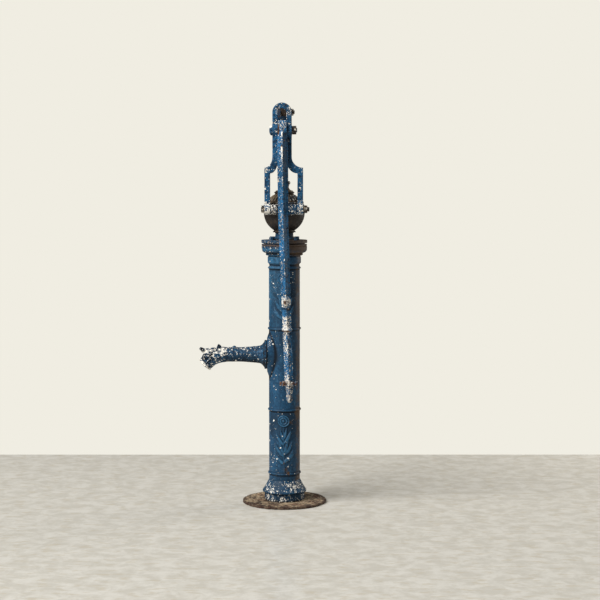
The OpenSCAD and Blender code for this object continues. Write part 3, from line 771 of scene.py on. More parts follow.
def boss_skin(height, turn):
    """Distance from the axis out to the spout's boss, an oval drum that narrows to its face."""
    away = (np.degrees(turn) + 360) % 360 - 180
    phi = np.radians(np.clip(np.abs(away), 0.5, 89))
    skin = np.zeros(height.shape)
    for share in np.linspace(0, 1, 13):
        depth = BOSS_X - 12 * share
        half_height = BOSS_HALF_HEIGHT + 32 * share
        oval = np.sqrt(np.clip(1 - ((height - SPOUT_Z) / half_height) ** 2, 0, 1))
        skin = np.maximum(skin, np.minimum(depth / np.cos(phi), BOSS_HALF_WIDTH * oval / np.sin(phi)))
    return np.where(np.abs(away) < 80, skin, 0)


def shaft_radius(radius, height, turn):
    """The shaft's skin: boss for the spout, relief and unevenness, on outer points only."""
    outer = (radius > SHAFT_R - 2.5) & (height > FOOT_TOP) & (height < CAPITAL_Z)
    skin = -join(-radius, -boss_skin(height, turn), 2.0)
    skin = np.maximum(skin, radius) + shaft_relief(height, turn)
    skin = rough_skin(skin, height, turn, 0.32, 20)[0]
    return np.where(outer, skin, radius), height


def boss_seam(p):
    """1 on the thin line where the spout's boss meets the shaft."""
    x, y, z = p.T
    gap = boss_skin(z, np.arctan2(y, x)) - SHAFT_R
    return np.where(x < -20, bump(gap, -1.5, 7.0), 0)


# Rusty spots on the shaft's front: x, z and size.
RUST_SPOTS = ((22, 296, 9), (4, 126, 14), (50, 332, 12), (-2, 150, 7), (14, 112, 8))


def shaft_wear(p):
    """Blue on the left; on the right, the side away from the light, rust and a brown film as painted shade;
    painted shade under the beads and round the leaves, and painted highlight on the relief's tops and the upper
    left.
    """
    x, y, z = p.T
    left = smooth_step(-x, -5, 45)
    low = 1 - smooth_step(z, 200, 420)
    patches = smooth_step(lattice_noise(p, 42, 17), 0.5, 0.8)
    chip = 0.05 + 0.06 * left + 0.08 * left * low + 0.14 * patches
    for bead in BEADS:
        chip = chip + 0.2 * bump(z, bead, 6) * smooth_step(lattice_noise(p, 24, 18), 0.4, 0.7)
    chip = chip + 0.6 * bump(z, SPOUT_Z + 48, 24) * bump(x, -48, 14)
    grime = np.zeros(len(p))
    # Painted shade: dark lines under and over the beads, in the neck's groove, under the capital and along the
    # crease round the spout's boss.
    for bead in BEADS + (NECK_BEAD,):
        grime = grime + bump(z, bead - 5.6, 4.0) + 0.45 * bump(z, bead + 5.4, 3.0)
    grime = grime + 1.1 * bump(z, GROOVE_HIGH - 4, 5.5) + 0.8 * bump(z, CAPITAL_Z, 4) + 1.3 * boss_seam(p)
    relief = shaft_relief(z, np.arctan2(y, x))
    # Painted shade round the edges of the leaves and the rosette, and in the hollows of the spray.
    grime = grime + np.where(relief > 0, bump(relief, 0.6, 1.1), 0) * (1 - 0.1 * smooth_step(z, 500, 640))
    spray = bump(z, 703, 88) * smooth_step(-y, 18, 34)
    hollow = spray * (1 - smooth_step(relief, 1.0, 2.5))
    grime = grime + 0.34 * hollow * smooth_step(-y, 30, 42)
    # Painted highlight: pale blue on the tops of the relief and on the upper part of the lit left side.
    painted_highlight = 0.95 * smooth_step(z, 600, 760) + 0.6 * smooth_step(z, FRIEZE_LOW - 6, FRIEZE_LOW)
    painted_highlight = painted_highlight * smooth_step(-x, -25, 20)
    worn = np.maximum(smooth_step(relief, 2.2, 4.2), painted_highlight * (1 - 0.8 * hollow))
    # Brown film and rust on the right, the side away from the light: painted shade, beside the real rust at the
    # foot and in the spots.
    rust = 0.02 + 0.48 * smooth_step(x, 12, 46) * (1 - 0.6 * smooth_step(-y, 30, 54))
    rust = rust + 0.12 * (1 - smooth_step(z, 84, 110))
    for sx, sz, size in RUST_SPOTS:
        spot = np.exp(-(((x - sx) ** 2 + (z - sz) ** 2) / size**2)) * (y < 0)
        rust = rust + 0.5 * spot
        chip = chip + 0.5 * spot
    # A flat darkening of the bore's inner faces: painted shade.
    grime = np.where(np.hypot(x, y) < SHAFT_R - 3, 0.4, grime)
    return {"chip": chip, "rust": rust, "grime": grime, "worn": worn}


def shaft_angles():
    """Angles close together where the relief is, and wider apart at the sides."""
    fine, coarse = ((1.25, 3.2))
    out = []
    for start, end, step in ((-158, -22, fine), (-22, 22, coarse), (22, 158, fine), (158, 202, 1.6 * fine)):
        n = int(round((end - start) / step))
        out += [start + (end - start) * k / n for k in range(n)]
    return out


def bead_outline(z, r):
    """Half round that stands out of the shaft at height z."""
    turn = [math.radians(a) for a in range(-90, 91, 18)]
    return [(SHAFT_R + r * math.cos(a), z + r * math.sin(a)) for a in turn]


def shaft_spacing(p):
    """Distance between outline points: small on the outside, smallest where the leaves are."""
    if p[0] < SHAFT_R - 3:
        return 60
    if BEADS[0] < p[1] < BEADS[1] or BEADS[2] < p[1] < NECK_BEAD:
        return 1.3
    return 3.0


def build_shaft():
    outside = [(SHAFT_R, FOOT_TOP)]
    for bead in BEADS:
        outside += bead_outline(bead, BEAD)
    outside += bead_outline(NECK_BEAD, 3.2)
    outside += [(SHAFT_R, GROOVE_LOW), (SHAFT_R - 1.8, GROOVE_LOW + 2), (SHAFT_R - 1.8, GROOVE_HIGH - 3)]
    outside += [(SHAFT_R, GROOVE_HIGH), (FRIEZE_R, FRIEZE_LOW), (FRIEZE_R, FRIEZE_HIGH),
                (NECK_R, FRIEZE_HIGH + 2)]
    inside = [(NECK_R, CAPITAL_Z), (SPIGOT_R, CAPITAL_Z), (SPIGOT_R, SHAFT_HIGH), (BORE_R, SHAFT_HIGH)]
    inside += [(BORE_R, SHAFT_LOW), (SPIGOT_R, SHAFT_LOW), (SPIGOT_R, FOOT_TOP)]
    turned("cast_column_shaft", "column", outside + inside, 0.9, shaft_spacing, shaft_angles(), shaft_wear,
           shaft_radius, "blue_iron", COLUMN_PAINT)


def capital_wear(p):
    x, z = p.T[0], p.T[2]
    right = smooth_step(x, -25, 40)
    top = smooth_step(z, TORUS_LOW + 7, TORUS_HIGH + 11)
    # The right side, away from the light, gets fewer chips, a brown film and darkening as painted shade; the pale
    # blue on the left of the torus is painted highlight; the dark bands in the grooves round the torus and under
    # the cover's rim are painted shade.
    return {
        "chip": 0.28 + 0.28 * top - 0.26 * right,
        "worn": 1.5 * (1 - right) * (bump(z, TORUS_HIGH - 3, 8) + 0.8 * bump(z, TORUS_LOW - 9, 4)),
        "rust": 0.06 + 0.26 * top + 0.5 * right + 0.5 * bump(z, TORUS_HIGH + 14, 3),
        "grime": 0.8 * bump(z, TORUS_LOW - 4.5, 4) + 0.9 * bump(z, TORUS_LOW, 3.5) + 0.4 * right
        + 0.8 * bump(z, TORUS_HIGH + 10.5, 2.5),
    }


def build_capital():
    outside = [(NECK_R, CAPITAL_Z), (66, TORUS_LOW - 8), (66, TORUS_LOW - 1)]
    outside += quarter((67, TORUS_LOW), (CAPITAL_R, TORUS_HIGH), 10)
    outside += [(CAPITAL_R, TORUS_HIGH + 10), (CAPITAL_R - 1.5, TORUS_HIGH + 11.5),
                (CAPITAL_R, TORUS_HIGH + 13)]
    inside = [(CAPITAL_R, COLUMN_TOP), (BORE_R, COLUMN_TOP), (BORE_R, SHAFT_HIGH), (SPIGOT_R, SHAFT_HIGH)]
    corners = outside + inside + [(SPIGOT_R, CAPITAL_Z)]
    shape = functools.partial(rough_skin, amount=0.4, seed=41)
    turned("cast_column_capital", "column_capital", corners, 0.8, 2.0, 256, capital_wear, shape,
           "blue_iron", COLUMN_PAINT)


def cover_wear(p):
    x, y, z = p.T
    right = smooth_step(x, -25, 40)
    plate = 1 - smooth_step(z, COVER_Z + 12, COVER_Z + 20)
    # Painted shade: darker, with more brown film, on the right, the side away from the light, and a dark line in
    # the crease at the top of the plate.
    grime = 0.8 * bump(z, COVER_Z + 12, 4) * (np.hypot(x, y) < 60) + 0.4 * right + 0.2 * (1 - plate)
    return {"chip": 0.14 + plate * (0.42 - 0.22 * right), "rust": 0.04 + plate * (0.26 + 0.3 * right),
            "grime": grime}


def build_cover():
    top = COVER_PLATE_TOP
    outside = [(COVER_R - 1, COVER_Z), (COVER_R, COVER_Z + 1), (COVER_R, top - 1), (COVER_R - 1, top),
               (48, top)]
    outside += [(48, top + 4)] + quarter((44, top + 5), (32, COVER_TOP - 8), 8) + [(32, COVER_TOP)]
    corners = outside + [(20, COVER_TOP), (20, COVER_Z)]
    shape = functools.partial(rough_skin, amount=0.45, seed=51)
    turned("cast_cover", "cover", corners, 1.1, 2.2, 240, cover_wear, shape, "blue_iron", COLUMN_PAINT)


# ---- Spout with an animal's head ----


# Middle and size of the heart-shaped line round the jaws, and the animal's eye seen from the side.
LIPS = (-278, 521, 12.5)
EYE_X, EYE_Z = -264, 540


def heart_line(x, z, cx, cz, size):
    """Distance in the side view to a heart-shaped line."""
    t = np.linspace(0, 2 * np.pi, 41)
    hx = 16 * np.sin(t) ** 3
    hz = 13 * np.cos(t) - 5 * np.cos(2 * t) - 2 * np.cos(3 * t) - np.cos(4 * t)
    best = np.full(np.broadcast(x, z).shape, 1e9)
    for px, pz in zip(cx + size * hx / 16, cz + size * (hz + 2.5) / 16):
        best = np.minimum(best, (x - px) ** 2 + (z - pz) ** 2)
    return np.sqrt(best)


def spout_shape(x, y, z):
    side = np.abs(y)
    h = z - SPOUT_Z
    r = np.hypot(y, h)
    root = -BOSS_X - 1.5
    flange = both(r - 52, np.abs(x - (root - 4)) - 4, 2.5)
    flare = both(r - (30 + 20 * np.clip(1 - (root - 6 - x) / 27, 0, 1) ** 2.2),
                 np.abs(x - (root - 17)) - 15, 2)
    spigot = both(r - 24, np.abs(x - (root + 8)) - 13.5, 1.5)
    tube = both(r - (26 + 4 * smooth_step(x, -161, -95)), np.abs(x + 150) - 80, 2)
    out = join(join(flange, flare, 3), join(tube, spigot), 4)
    skull = rod_between(x, y, z, (-222, 0, SPOUT_Z - 1), (-258, 0, 527), 26.5, 29)
    jaw = rod_between(x, y, z, (-262, 0, 524), (-276, 0, 509), 28.5, 27)
    muzzle = rod_between(x, side, z, (-262, 6, 531), (-281, 8, 527), 20, 14)
    out = join(out, join(join(skull, jaw, 6), muzzle, 5), 6)
    axis = np.array([-math.cos(math.radians(46)), -math.sin(math.radians(46))])
    along = (x - MOUTH[0]) * axis[0] + (z - MOUTH[2]) * axis[1]
    across = (x - MOUTH[0]) * axis[1] - (z - MOUTH[2]) * axis[0]
    ring = np.hypot(np.hypot(across, y) - 23.5, along + 1.5) - 4.4
    out = both(out, along - 1.5, 2.0)
    out = join(out, ring, 2.5)
    snout = rod_between(x, side, z, (-256, 0, 550), (-292, 0, 548), 10.5, 7.0)
    curl = rod_between(x, side, z, (-291, 5.0, 551), (-300.5, 6.0, 555.5), 5.8, 5.0)
    out = join(join(out, snout, 4), curl, 2.5)
    brow = rod_between(x, side, z, (-277, 12, 547), (-254, 19, 551), 4.0, 5.0)
    ear = ball(x, side, z, (-235, 13, 557), (9, 6.5, 11.5))
    fold = ball(x, side, z, (-234, 19, 558), (5, 4, 6.5))
    crest = ball(x, side, z, (-180, 0, 561), (7, 4.5, 5.5))
    out = join(join(join(out, brow, 2.0), cut(ear, fold, 1.0), 2.5), crest, 2.5)
    eye = ball(x, side, z, (EYE_X, 24.0, EYE_Z), (5.0, 5, 4.6))
    out = join(cut(out, ball(x, side, z, (EYE_X, 28.5, EYE_Z), (7.6, 5, 6.6)), 1.5), eye, 0.8)
    nostril = ball(x, side, z, (-295, 8.5, 547.5), (3.2, 4, 2.6))
    out = cut(out, nostril, 1.0)
    mane = 2.0 * bump(np.abs(((x + 246 + 0.5 * h) / 8.5) % 2 - 1), 0, 0.7) * smooth_step(-x, 203, 218)
    mane = mane * (1 - smooth_step(-x, 246, 254)) * smooth_step(side, 6, 16) * smooth_step(h, -16, -6)
    out = out - mane
    lips = heart_line(x, z, *LIPS)
    cheek = smooth_step(side, 8, 18)
    out = out - 2.4 * (1 - smooth_step(lips, 0.8, 3.0)) * cheek + 1.6 * bump(lips, 5.0, 2.4) * cheek
    way = both(r - 19, np.abs(x + 145) - 120, 0.5)
    bend = rod_between(x, y, z, (-235, 0, SPOUT_Z - 4), (-266, 0, 518), 19, 19.5)
    mouth = both(np.hypot(across, y) - 20, -along - 28, 0.5)
    return cut(out, join(join(way, bend), mouth), 1.0)


def spout_wear(p):
    x, y, z = p.T
    r = np.hypot(y, z - SPOUT_Z)
    tube = smooth_step(-x, 78, 110)
    head = smooth_step(-x, 205, 235)
    upper = smooth_step(z, SPOUT_Z - 14, SPOUT_Z + 12)
    patches = smooth_step(lattice_noise(p, 22, 61), 0.35, 0.65)
    near = smooth_step(-x, 120, 190)
    crown = head * smooth_step(z, 534, 548)
    chip = 0.2 + tube * upper * (0.2 + (0.14 + 0.24 * near) * patches) * (1 - 0.8 * head)
    chip = chip + 0.34 * head + 0.05 * crown
    lip = (x - MOUTH[0]) * -0.695 + (z - MOUTH[2]) * -0.719
    chip = chip + 0.3 * head * smooth_step(lip, -9, -3)
    curl = smooth_step(-x, 284, 290) * smooth_step(z, 544, 549)
    horn = bump(x, -235, 12) * smooth_step(z, 556, 561)
    lips = heart_line(x, z, *LIPS)
    # Painted shade: a dark line round the jaws and a dark ring in the eye socket.
    dark = bump(lips, 5.0, 3.0) * (np.abs(y) > 8) * (x < -258)
    eye = np.hypot(x - EYE_X, z - EYE_Z)
    dark = np.maximum(dark, bump(eye, 6.0, 2.6) * (np.abs(y) > 15))
    # Painted shade inside the bore, on the lower half of the tube and along its underside; besides it, a dark
    # joint line at the flange, dirt patches on the head, and darker tops of the snout's curl and the ear.
    inside = np.where((r < 19.6) & (x > -240), 1.0, 0.0)
    under = 0.7 * smooth_step(SPOUT_Z - z, 16, 26) * (1 - head)
    grime = 0.5 * (1 - upper) * tube * (1 - head) + 0.9 * dark + inside + 1.0 * bump(x, -72.5, 4.0)
    grime = grime + 0.5 * head * smooth_step(lattice_noise(p, 9, 62), 0.5, 0.7)
    grime = grime + 0.6 * under + 0.6 * curl + 0.5 * horn
    chip = chip * (1 - 0.8 * dark) * (1 - 0.6 * np.maximum(curl, horn))
    return {"chip": chip, "rust": 0.05 + 0.1 * head, "grime": grime}


def build_spout():
    low, high = node_box("spout")
    piece = sculpt("cast_spout", spout_shape, low - 4, high + 4, spout_wear, 0.45, 60)
    finish_piece(piece, "column", "spout_iron", SPOUT_PAINT, "spout")


# ---- Urn ----

BALL_R = 73.0
BALL_Z = 1044.0
LUG_IN, LUG_OUT = 24.0, 46.0
LUG_R = 18.0


def bowl_shape(x, y, z):
    r = np.hypot(x, y)
    globe = np.sqrt(r**2 + (z - BALL_Z) ** 2) - BALL_R
    shell = both(globe, np.maximum(z - BELT_Z, BOWL_Z + 4 - z), 1.0)
    foot = both(r - (41 - 1.1 * np.clip(z - BOWL_Z - 2, 0, 12)), np.abs(z - BOWL_Z - 4.5) - 4.5, 1.2)
    out = join(shell, foot, 3)
    rim = math.sqrt(BALL_R**2 - (BELT_Z - 4 - BALL_Z) ** 2)
    rib = np.hypot(r - rim, z - BELT_Z + 3.2) - 3.0
    out = join(out, rib, 1.5)
    for side in (-1, 1):
        x0 = STUD_X + (-LUG_OUT if side < 0 else LUG_IN)
        x1 = x0 + LUG_OUT - LUG_IN
        lug = disc_x(x, y, z, x0, x1, STUD_Y, STUD_Z, LUG_R)
        web = both(np.abs(z - STUD_Z) - LUG_R, np.abs(x - (x0 + x1) / 2) - 14, 2)
        web = both(web, np.abs(y - STUD_Y - 14) - 14, 1)
        out = join(out, join(lug, web, 1), 5)
        hole = disc_x(x, y, z, x0 + 4 * side, x1 + 4 * side, STUD_Y, STUD_Z, 8)
        out = cut(out, hole, 0.3)
    hollow = np.sqrt(r**2 + (z - BALL_Z) ** 2) - (BALL_R - 8)
    out = cut(out, hollow, 0.5)
    return cut(out, both(r - 20, np.abs(z - BOWL_Z - 20) - 40), 0.5)


def bowl_wear(p):
    x, y, z = p.T
    near_lug = 1 - smooth_step(np.hypot(y - STUD_Y, z - STUD_Z), LUG_R - 2, LUG_R + 9)
    left = near_lug * (x < 0)
    right = near_lug * (x > 0)
    # Darker on the right, the side away from the light, and in the crease above the foot: painted shade.
    return {
        "chip": 0.04 + 0.72 * left + 0.95 * right,
        "blue": 1.0 * right + 0.3 * left,
        "rust": 0.10,
        "grime": 0.5 * smooth_step(x, 0, 60) + 0.6 * bump(z, BOWL_Z + 10, 5),
    }


def build_bowl():
    low, high = node_box("urn_bowl")
    piece = sculpt("cast_urn_bowl", bowl_shape, low, high, bowl_wear, 0.35, 70)
    finish_piece(piece, "column", "bare_iron", URN_IRON, "urn_bowl")


DOME_LOBES = 26


def ribbed_zone(z):
    """1 where the dome has its lobes, between its belt and its shoulder."""
    return smooth_step(z, BELT_Z + 8, BELT_Z + 13) * (1 - smooth_step(z, GLAND_Z - 5, GLAND_Z - 1))


def dome_shape(radius, height, turn):
    """Round lobes on the dome between its belt and its shoulder."""
    lobes = np.abs(np.cos(turn * DOME_LOBES / 2)) ** 0.8 - 0.6
    return radius + np.where(radius > 30, 4.0 * lobes * ribbed_zone(height), 0), height


def dome_wear(p):
    x, y, z = p.T
    turn = np.arctan2(y, x)
    gaps = 1 - np.abs(np.cos(turn * DOME_LOBES / 2))
    zone = ribbed_zone(z)
    right = smooth_step(x, -10, 30)
    belt = bump(z, BELT_Z + 4, 5)
    ribs = zone * smooth_step(0.5 - gaps, 0, 0.2)
    chip = 0.08 + 0.66 * right * ribs + belt * (0.25 + 0.6 * right)
    # Lighter ribs and belt on the left, the lit side: painted highlight; darker gaps between the lobes: painted
    # shade.
    worn = (1 - right) * (0.85 * ribs + 0.5 * belt)
    return {"chip": chip, "blue": 0.5 * right, "worn": worn, "rust": 0.25, "grime": 1.4 * gaps * zone}


def build_dome():
    sweep = [math.radians(a) for a in np.linspace(31, 62, 16)]
    arc = [(BALL_R * math.cos(a), BALL_Z + BALL_R * math.sin(a)) for a in sweep]
    outside = [(64, BELT_Z), (69, BELT_Z + 0.5), (70, BELT_Z + 4), (68.5, BELT_Z + 7), (64.5, BELT_Z + 8)]
    outside += [(r, z) for r, z in arc if BELT_Z + 9 < z < GLAND_Z] + [(33, GLAND_Z)]
    inside = [(22, GLAND_Z), (22, GLAND_Z - 12), (45, GLAND_Z - 14), (56, BELT_Z + 2), (56, BELT_Z)]
    turned("cast_urn_dome", "urn_dome", outside + inside, 1.2, 1.6, 320, dome_wear, dome_shape,
           "bare_iron", GLAND_IRON)


def gland_wear(p):
    x, z = p.T[0], p.T[2]
    right = smooth_step(x, -5, 20)
    worn = bump(z, GLAND_TOP + 2, 3.5) * (0.4 + 0.5 * right) + 0.5 * bump(z, GLAND_TOP + 16, 5)
    # The dark band just below the top of the stuffing box, under the cap, is painted shade.
    return {"chip": 0.3 * right, "blue": 0.0, "worn": worn, "rust": 0.2,
            "grime": 0.9 * bump(z, GLAND_TOP - 4, 5)}


def build_gland():
    bore = ROD_R + 0.1
    flange = [(22, GLAND_Z), (33, GLAND_Z), (36, GLAND_Z + 4), (36, GLAND_Z + 6), (33, GLAND_TOP)]
    inside = [(16, GLAND_TOP), (16, GLAND_Z - 26), (bore, GLAND_Z - 26), (bore, STUFFING_LOW)]
    corners = flange + inside + [(22, STUFFING_LOW)]
    turned("turned_stuffing_box", "stuffing_box", corners, 1.0, 2.0, 160, gland_wear, None,
           "bare_iron", GLAND_IRON)
    cap = [(16, GLAND_Z - 2), (16, GLAND_TOP), (31, GLAND_TOP), (31, GLAND_TOP + 3)]
    cap += quarter((28, GLAND_TOP + 4), (16.5, GLAND_TOP + 16), 7)
    stem_top = 1141
    cap += [(16.5, stem_top), (18.5, stem_top + 1), (18.5, stem_top + 2.5), (17.2, stem_top + 3.5)]
    cap += [(20, stem_top + 5), (21.6, stem_top + 7.5), (21.6, stem_top + 11), (19, CAP_TOP)]
    cap += [(bore, CAP_TOP), (bore, GLAND_Z - 2)]
    turned("turned_gland_cap", "gland_cap", cap, 0.9, 1.8, 144, gland_wear, None, "bare_iron", GLAND_IRON)


# ---- Bolts and nuts ----


def hex_distance(u, v, flats):
    """Distance to a hexagon with corners along u, its width across the flats being flats."""
    u, v = np.abs(u), np.abs(v)
    return np.maximum(v, u * math.sqrt(3) / 2 + v * 0.5) - flats / 2


def bevelled_hex(u, v, w, flats, w0, w1):
    """Nut or bolt head along w with its corners turned off at both ends."""
    body = both(hex_distance(u, v, flats), between(w, w0, w1), 0.8)
    reach = np.hypot(u, v)
    chamfer = np.minimum(w - w0, w1 - w) * 1.4
    return both(body, reach - (flats / 2 + 0.4) - chamfer, 0.6)


def thread(radius, w, pitch=1.9, depth=0.55):
    """Radius of a screw thread seen as rounded rings."""
    return radius - depth * (0.5 + 0.5 * np.cos(2 * np.pi * w / pitch))


def cover_bolts_shape(x, y, z):
    out = None
    for k in range(4):
        a = math.radians(45 + 90 * k)
        cx, cy = 62 * math.cos(a), 62 * math.sin(a)
        u, v = x - cx, y - cy
        top = COVER_PLATE_TOP
        hu, hv = spin(u, v, math.radians(17 + 23 * k))
        head = bevelled_hex(hu, hv, z, 17, top + 1.3, top + 10.5)
        washer = both(np.hypot(u, v) - 11, np.abs(z - top - 0.7) - 0.9, 0.4)
        shank = both(np.hypot(u, v) - 5, np.abs(z - top + 10) - 14, 0.5)
        one = join(join(head, washer, 0.5), shank)
        out = one if out is None else join(out, one)
    return out


def bolt_wear(p):
    return {"chip": 0.3 + 0.2 * (lattice_noise(p, 9, 80) - 0.5), "rust": 0.22, "grime": 0.1}


def build_cover_bolts():
    low, high = node_box("cover_bolts")
    low = (low[0], low[1], COVER_Z - 6)
    piece = sculpt("cover_bolt_heads", cover_bolts_shape, low, high, bolt_wear, 0.2, 81, NUT_VOXEL)
    finish_piece(piece, "column", "blue_iron", COLUMN_PAINT, "cover_bolts")


def side_nut_wear(p):
    patches = lattice_noise(p, 8, 83)
    return {"chip": 0.52 + 0.5 * (patches - 0.5), "blue": 0.3, "worn": smooth_step(patches, 0.55, 0.65),
            "grime": 0.1}


def build_fork_fixings():
    low, high = node_box("fork_studs")
    nuts = node_box("fork_nuts")

    def shape(x, y, z):
        out = None
        for side in (-1, 1):
            u = (x - STUD_X) * side
            ends = abs((high if side > 0 else low)[0] - STUD_X)
            v, w = y - STUD_Y, z - STUD_Z
            stud = both(np.hypot(v, w) - thread(8.0, u), between(u, 26, ends), 0.8)
            washer = both(np.hypot(v, w) - 15, np.abs(u - 69.5) - 1.25, 0.4)
            hv, hw = spin(v, w, math.radians(11 if side < 0 else 34))
            outer = abs(nuts[1 if side > 0 else 0][0] - STUD_X)
            nut = bevelled_hex(hv, hw, u, 24, 70.8, outer)
            one = join(stud, join(washer, nut, 0.4), 0.4)
            out = one if out is None else join(out, one)
        return out

    piece = sculpt("fork_stud_nuts", shape, low - (0, 12, 12), high + (0, 12, 12), side_nut_wear, 0.25, 84,
                   BOLT_VOXEL)
    finish_piece(piece, "column", "bolt_iron", BOLT_IRON, "fork_studs", "fork_washers", "fork_nuts")


def build_fulcrum_bolt():
    low, high = node_box("fulcrum_bolt")
    cy, cz = HUB_Y, HUB_Z
    head_in = low[0] + 11

    def shape(x, y, z):
        r = np.hypot(y - cy, z - cz)
        dome = np.sqrt(r**2 * 0.30 + (x - head_in) ** 2) - 11.2
        head = both(both(r - 18.5, np.abs(x - (low[0] + head_in) / 2) - 5.5, 2.0), dome, 1.0)
        radius = np.where(x > HUB_X + 34, thread(8.0, x), 8.0)
        shank = both(r - radius, between(x, head_in, high[0]), 0.8)
        return join(head, shank, 0.5)

    def wear(p):
        top = smooth_step(p[:, 2], cz + 4, cz + 13)
        # The darker underside of the head is painted shade.
        return {"chip": 0.3 + 0.75 * top, "rust": 0.0, "grime": 0.5 * smooth_step(-p[:, 2], 8 - cz, 17 - cz)}

    piece = sculpt("fulcrum_bolt_round", shape, low, high, wear, 0.3, 86, BOLT_VOXEL)
    finish_piece(piece, "fork", "blue_iron", FORK_PAINT, "fulcrum_bolt")
    nut_low, nut_high = node_box("fulcrum_nut")
    washer_low = node_box("fulcrum_washer")[0]

    def nut_shape(x, y, z):
        v, w = y - cy, z - cz
        hv, hw = spin(v, w, math.radians(20))
        nut = bevelled_hex(hv, hw, x, 27, nut_low[0], nut_high[0])
        washer = both(np.hypot(v, w) - 15, np.abs(x - washer_low[0] - 1.5) - 1.5, 0.4)
        return cut(join(nut, washer, 0.4), np.hypot(v, w) - 8.1, 0.3)

    piece = sculpt("fulcrum_nut_hex", nut_shape, washer_low - (0, 2, 2), nut_high + (0, 2, 2),
                   side_nut_wear, 0.25, 87, NUT_VOXEL)
    finish_piece(piece, "fork", "bolt_iron", BOLT_IRON, "fulcrum_nut", "fulcrum_washer")


# ---- Fork ----

ARM_IN, ARM_OUT = 48.0, 68.0
LEG_OUT = 34.0
HEAD_GAP = 29.0
FORK_T = 20.0
EYE_R = 19.0
SHOULDER_Z, BEND_TOP = 1201.0, 1240.0
WINDOW_LOW, WINDOW_HIGH = 1181.0, 1232.0
ARCH_Z = FORK_TOP - LEG_OUT


def fork_outline(arm, leg, bend_low, bend_high, foot):
    """Closed outline of the fork's front; arm and leg are half widths about the studs and the fulcrum."""
    sides = []
    for side in (-1, 1):
        arm_x = STUD_X + side * arm
        bend = shoulder((HUB_X + side * leg, bend_high), (arm_x - side, bend_low + 2), 10)
        sides.append([(arm_x, foot), (arm_x, bend_low)] + bend[::-1])
    turns = [math.radians(a) for a in range(180, -1, -9)]
    arch = [(HUB_X + leg * math.cos(a), ARCH_Z + leg * math.sin(a)) for a in turns]
    return sides[0] + arch + sides[1][::-1]


def fork_shape(x, y, z):
    silhouette = polygon(x, z, fork_outline(ARM_OUT, LEG_OUT, SHOULDER_Z, BEND_TOP, STUD_Z))
    window = polygon(x, z, fork_outline(ARM_IN, HEAD_GAP / 2, WINDOW_LOW, WINDOW_HIGH, STUD_Z - 60))
    flat = cut(silhouette, window)
    across = np.abs(y - HUB_Y)
    out = both(flat, across - FORK_T / 2, 3.0)
    for side in (-1, 1):
        x0 = STUD_X + (-ARM_OUT if side < 0 else ARM_IN)
        out = join(out, disc_x(x, y, z, x0, x0 + ARM_OUT - ARM_IN, STUD_Y, STUD_Z, EYE_R), 3)
        x1 = HUB_X + (-LEG_OUT if side < 0 else HEAD_GAP / 2)
        out = join(out, disc_x(x, y, z, x1, x1 + LEG_OUT - HEAD_GAP / 2, HUB_Y, HUB_Z, EYE_R), 3)
    out = cut(out, np.hypot(y - STUD_Y, z - STUD_Z) - 8.3, 0.5)
    return cut(out, np.hypot(y - HUB_Y, z - HUB_Z) - 8.0, 0.5)


def fork_wear(p):
    x, z = p.T[0], p.T[2]
    left = x < STUD_X
    foot = 1 - smooth_step(z, STUD_Z + 16, STUD_Z + 40)
    knee = bump(z, SHOULDER_Z, 26) * smooth_step(np.abs(x - STUD_X), 42, 60)
    head = smooth_step(z, 1290, 1400)
    patches = smooth_step(lattice_noise(p, 22, 91), 0.4, 0.65)
    chip = 0.32 + foot * np.where(left, 0.42, 0.3) + 0.34 * knee * patches + 0.22 * head * patches
    chip = chip + 0.15 * bump(z, 1358, 22)
    rust = 0.03 + 0.1 * foot + 0.12 * bump(z, 1362, 14)
    rust = rust + 0.5 * bump(z, FORK_TOP - 3, 9) * bump(x - HUB_X, 17, 11)
    # The darkening on the inner faces of the head's gap is painted shade, with a brown film above 1300 mm.
    inner = np.abs(np.abs(x - HUB_X) - HEAD_GAP / 2) < 1.5
    shaded = smooth_step(x - HUB_X, 10, 15) * smooth_step(z, 1196, 1232) * (1 - smooth_step(z, 1306, 1322))
    return {
        "chip": chip * (1 - 0.7 * shaded),
        "rust": rust + np.where(inner & (z > 1300), 0.4, 0),
        "grime": np.maximum(np.where(inner, 0.6, 0),
                            0.75 * shaded * (1 - 0.5 * smooth_step(x - HUB_X, 22, 30))),
    }


def build_fork():
    low, high = node_box("fork")
    piece = sculpt("cast_fork", fork_shape, low, high, fork_wear, 0.4, 90)
    finish_piece(piece, "fork", "blue_iron", FORK_PAINT, "fork")


# ---- Lever ----

BAR_Y = -97.0
KNEE_Z, KNEE_X = 1010.0, -2.5
BAR_TOP_X, TIP_X = -5.5, 19.5
GUARD_Z, COLLAR_Z, KNOB_Z = 443.0, 634.0, 732.0
ARM_TILT = math.atan2(PIN_Z - HUB_Z, -HUB_Y)
ARM_LENGTH = math.hypot(PIN_Z - HUB_Z, HUB_Y)


def bar_x(z):
    """Sideways place of the bar's middle at height z."""
    high = KNEE_X + (BAR_TOP_X - KNEE_X) * (z - KNEE_Z) / (HUB_Z - KNEE_Z)
    low = KNEE_X + (TIP_X - KNEE_X) * (KNEE_Z - z) / (KNEE_Z - LEVER_TIP)
    return np.where(z > KNEE_Z, high, low)


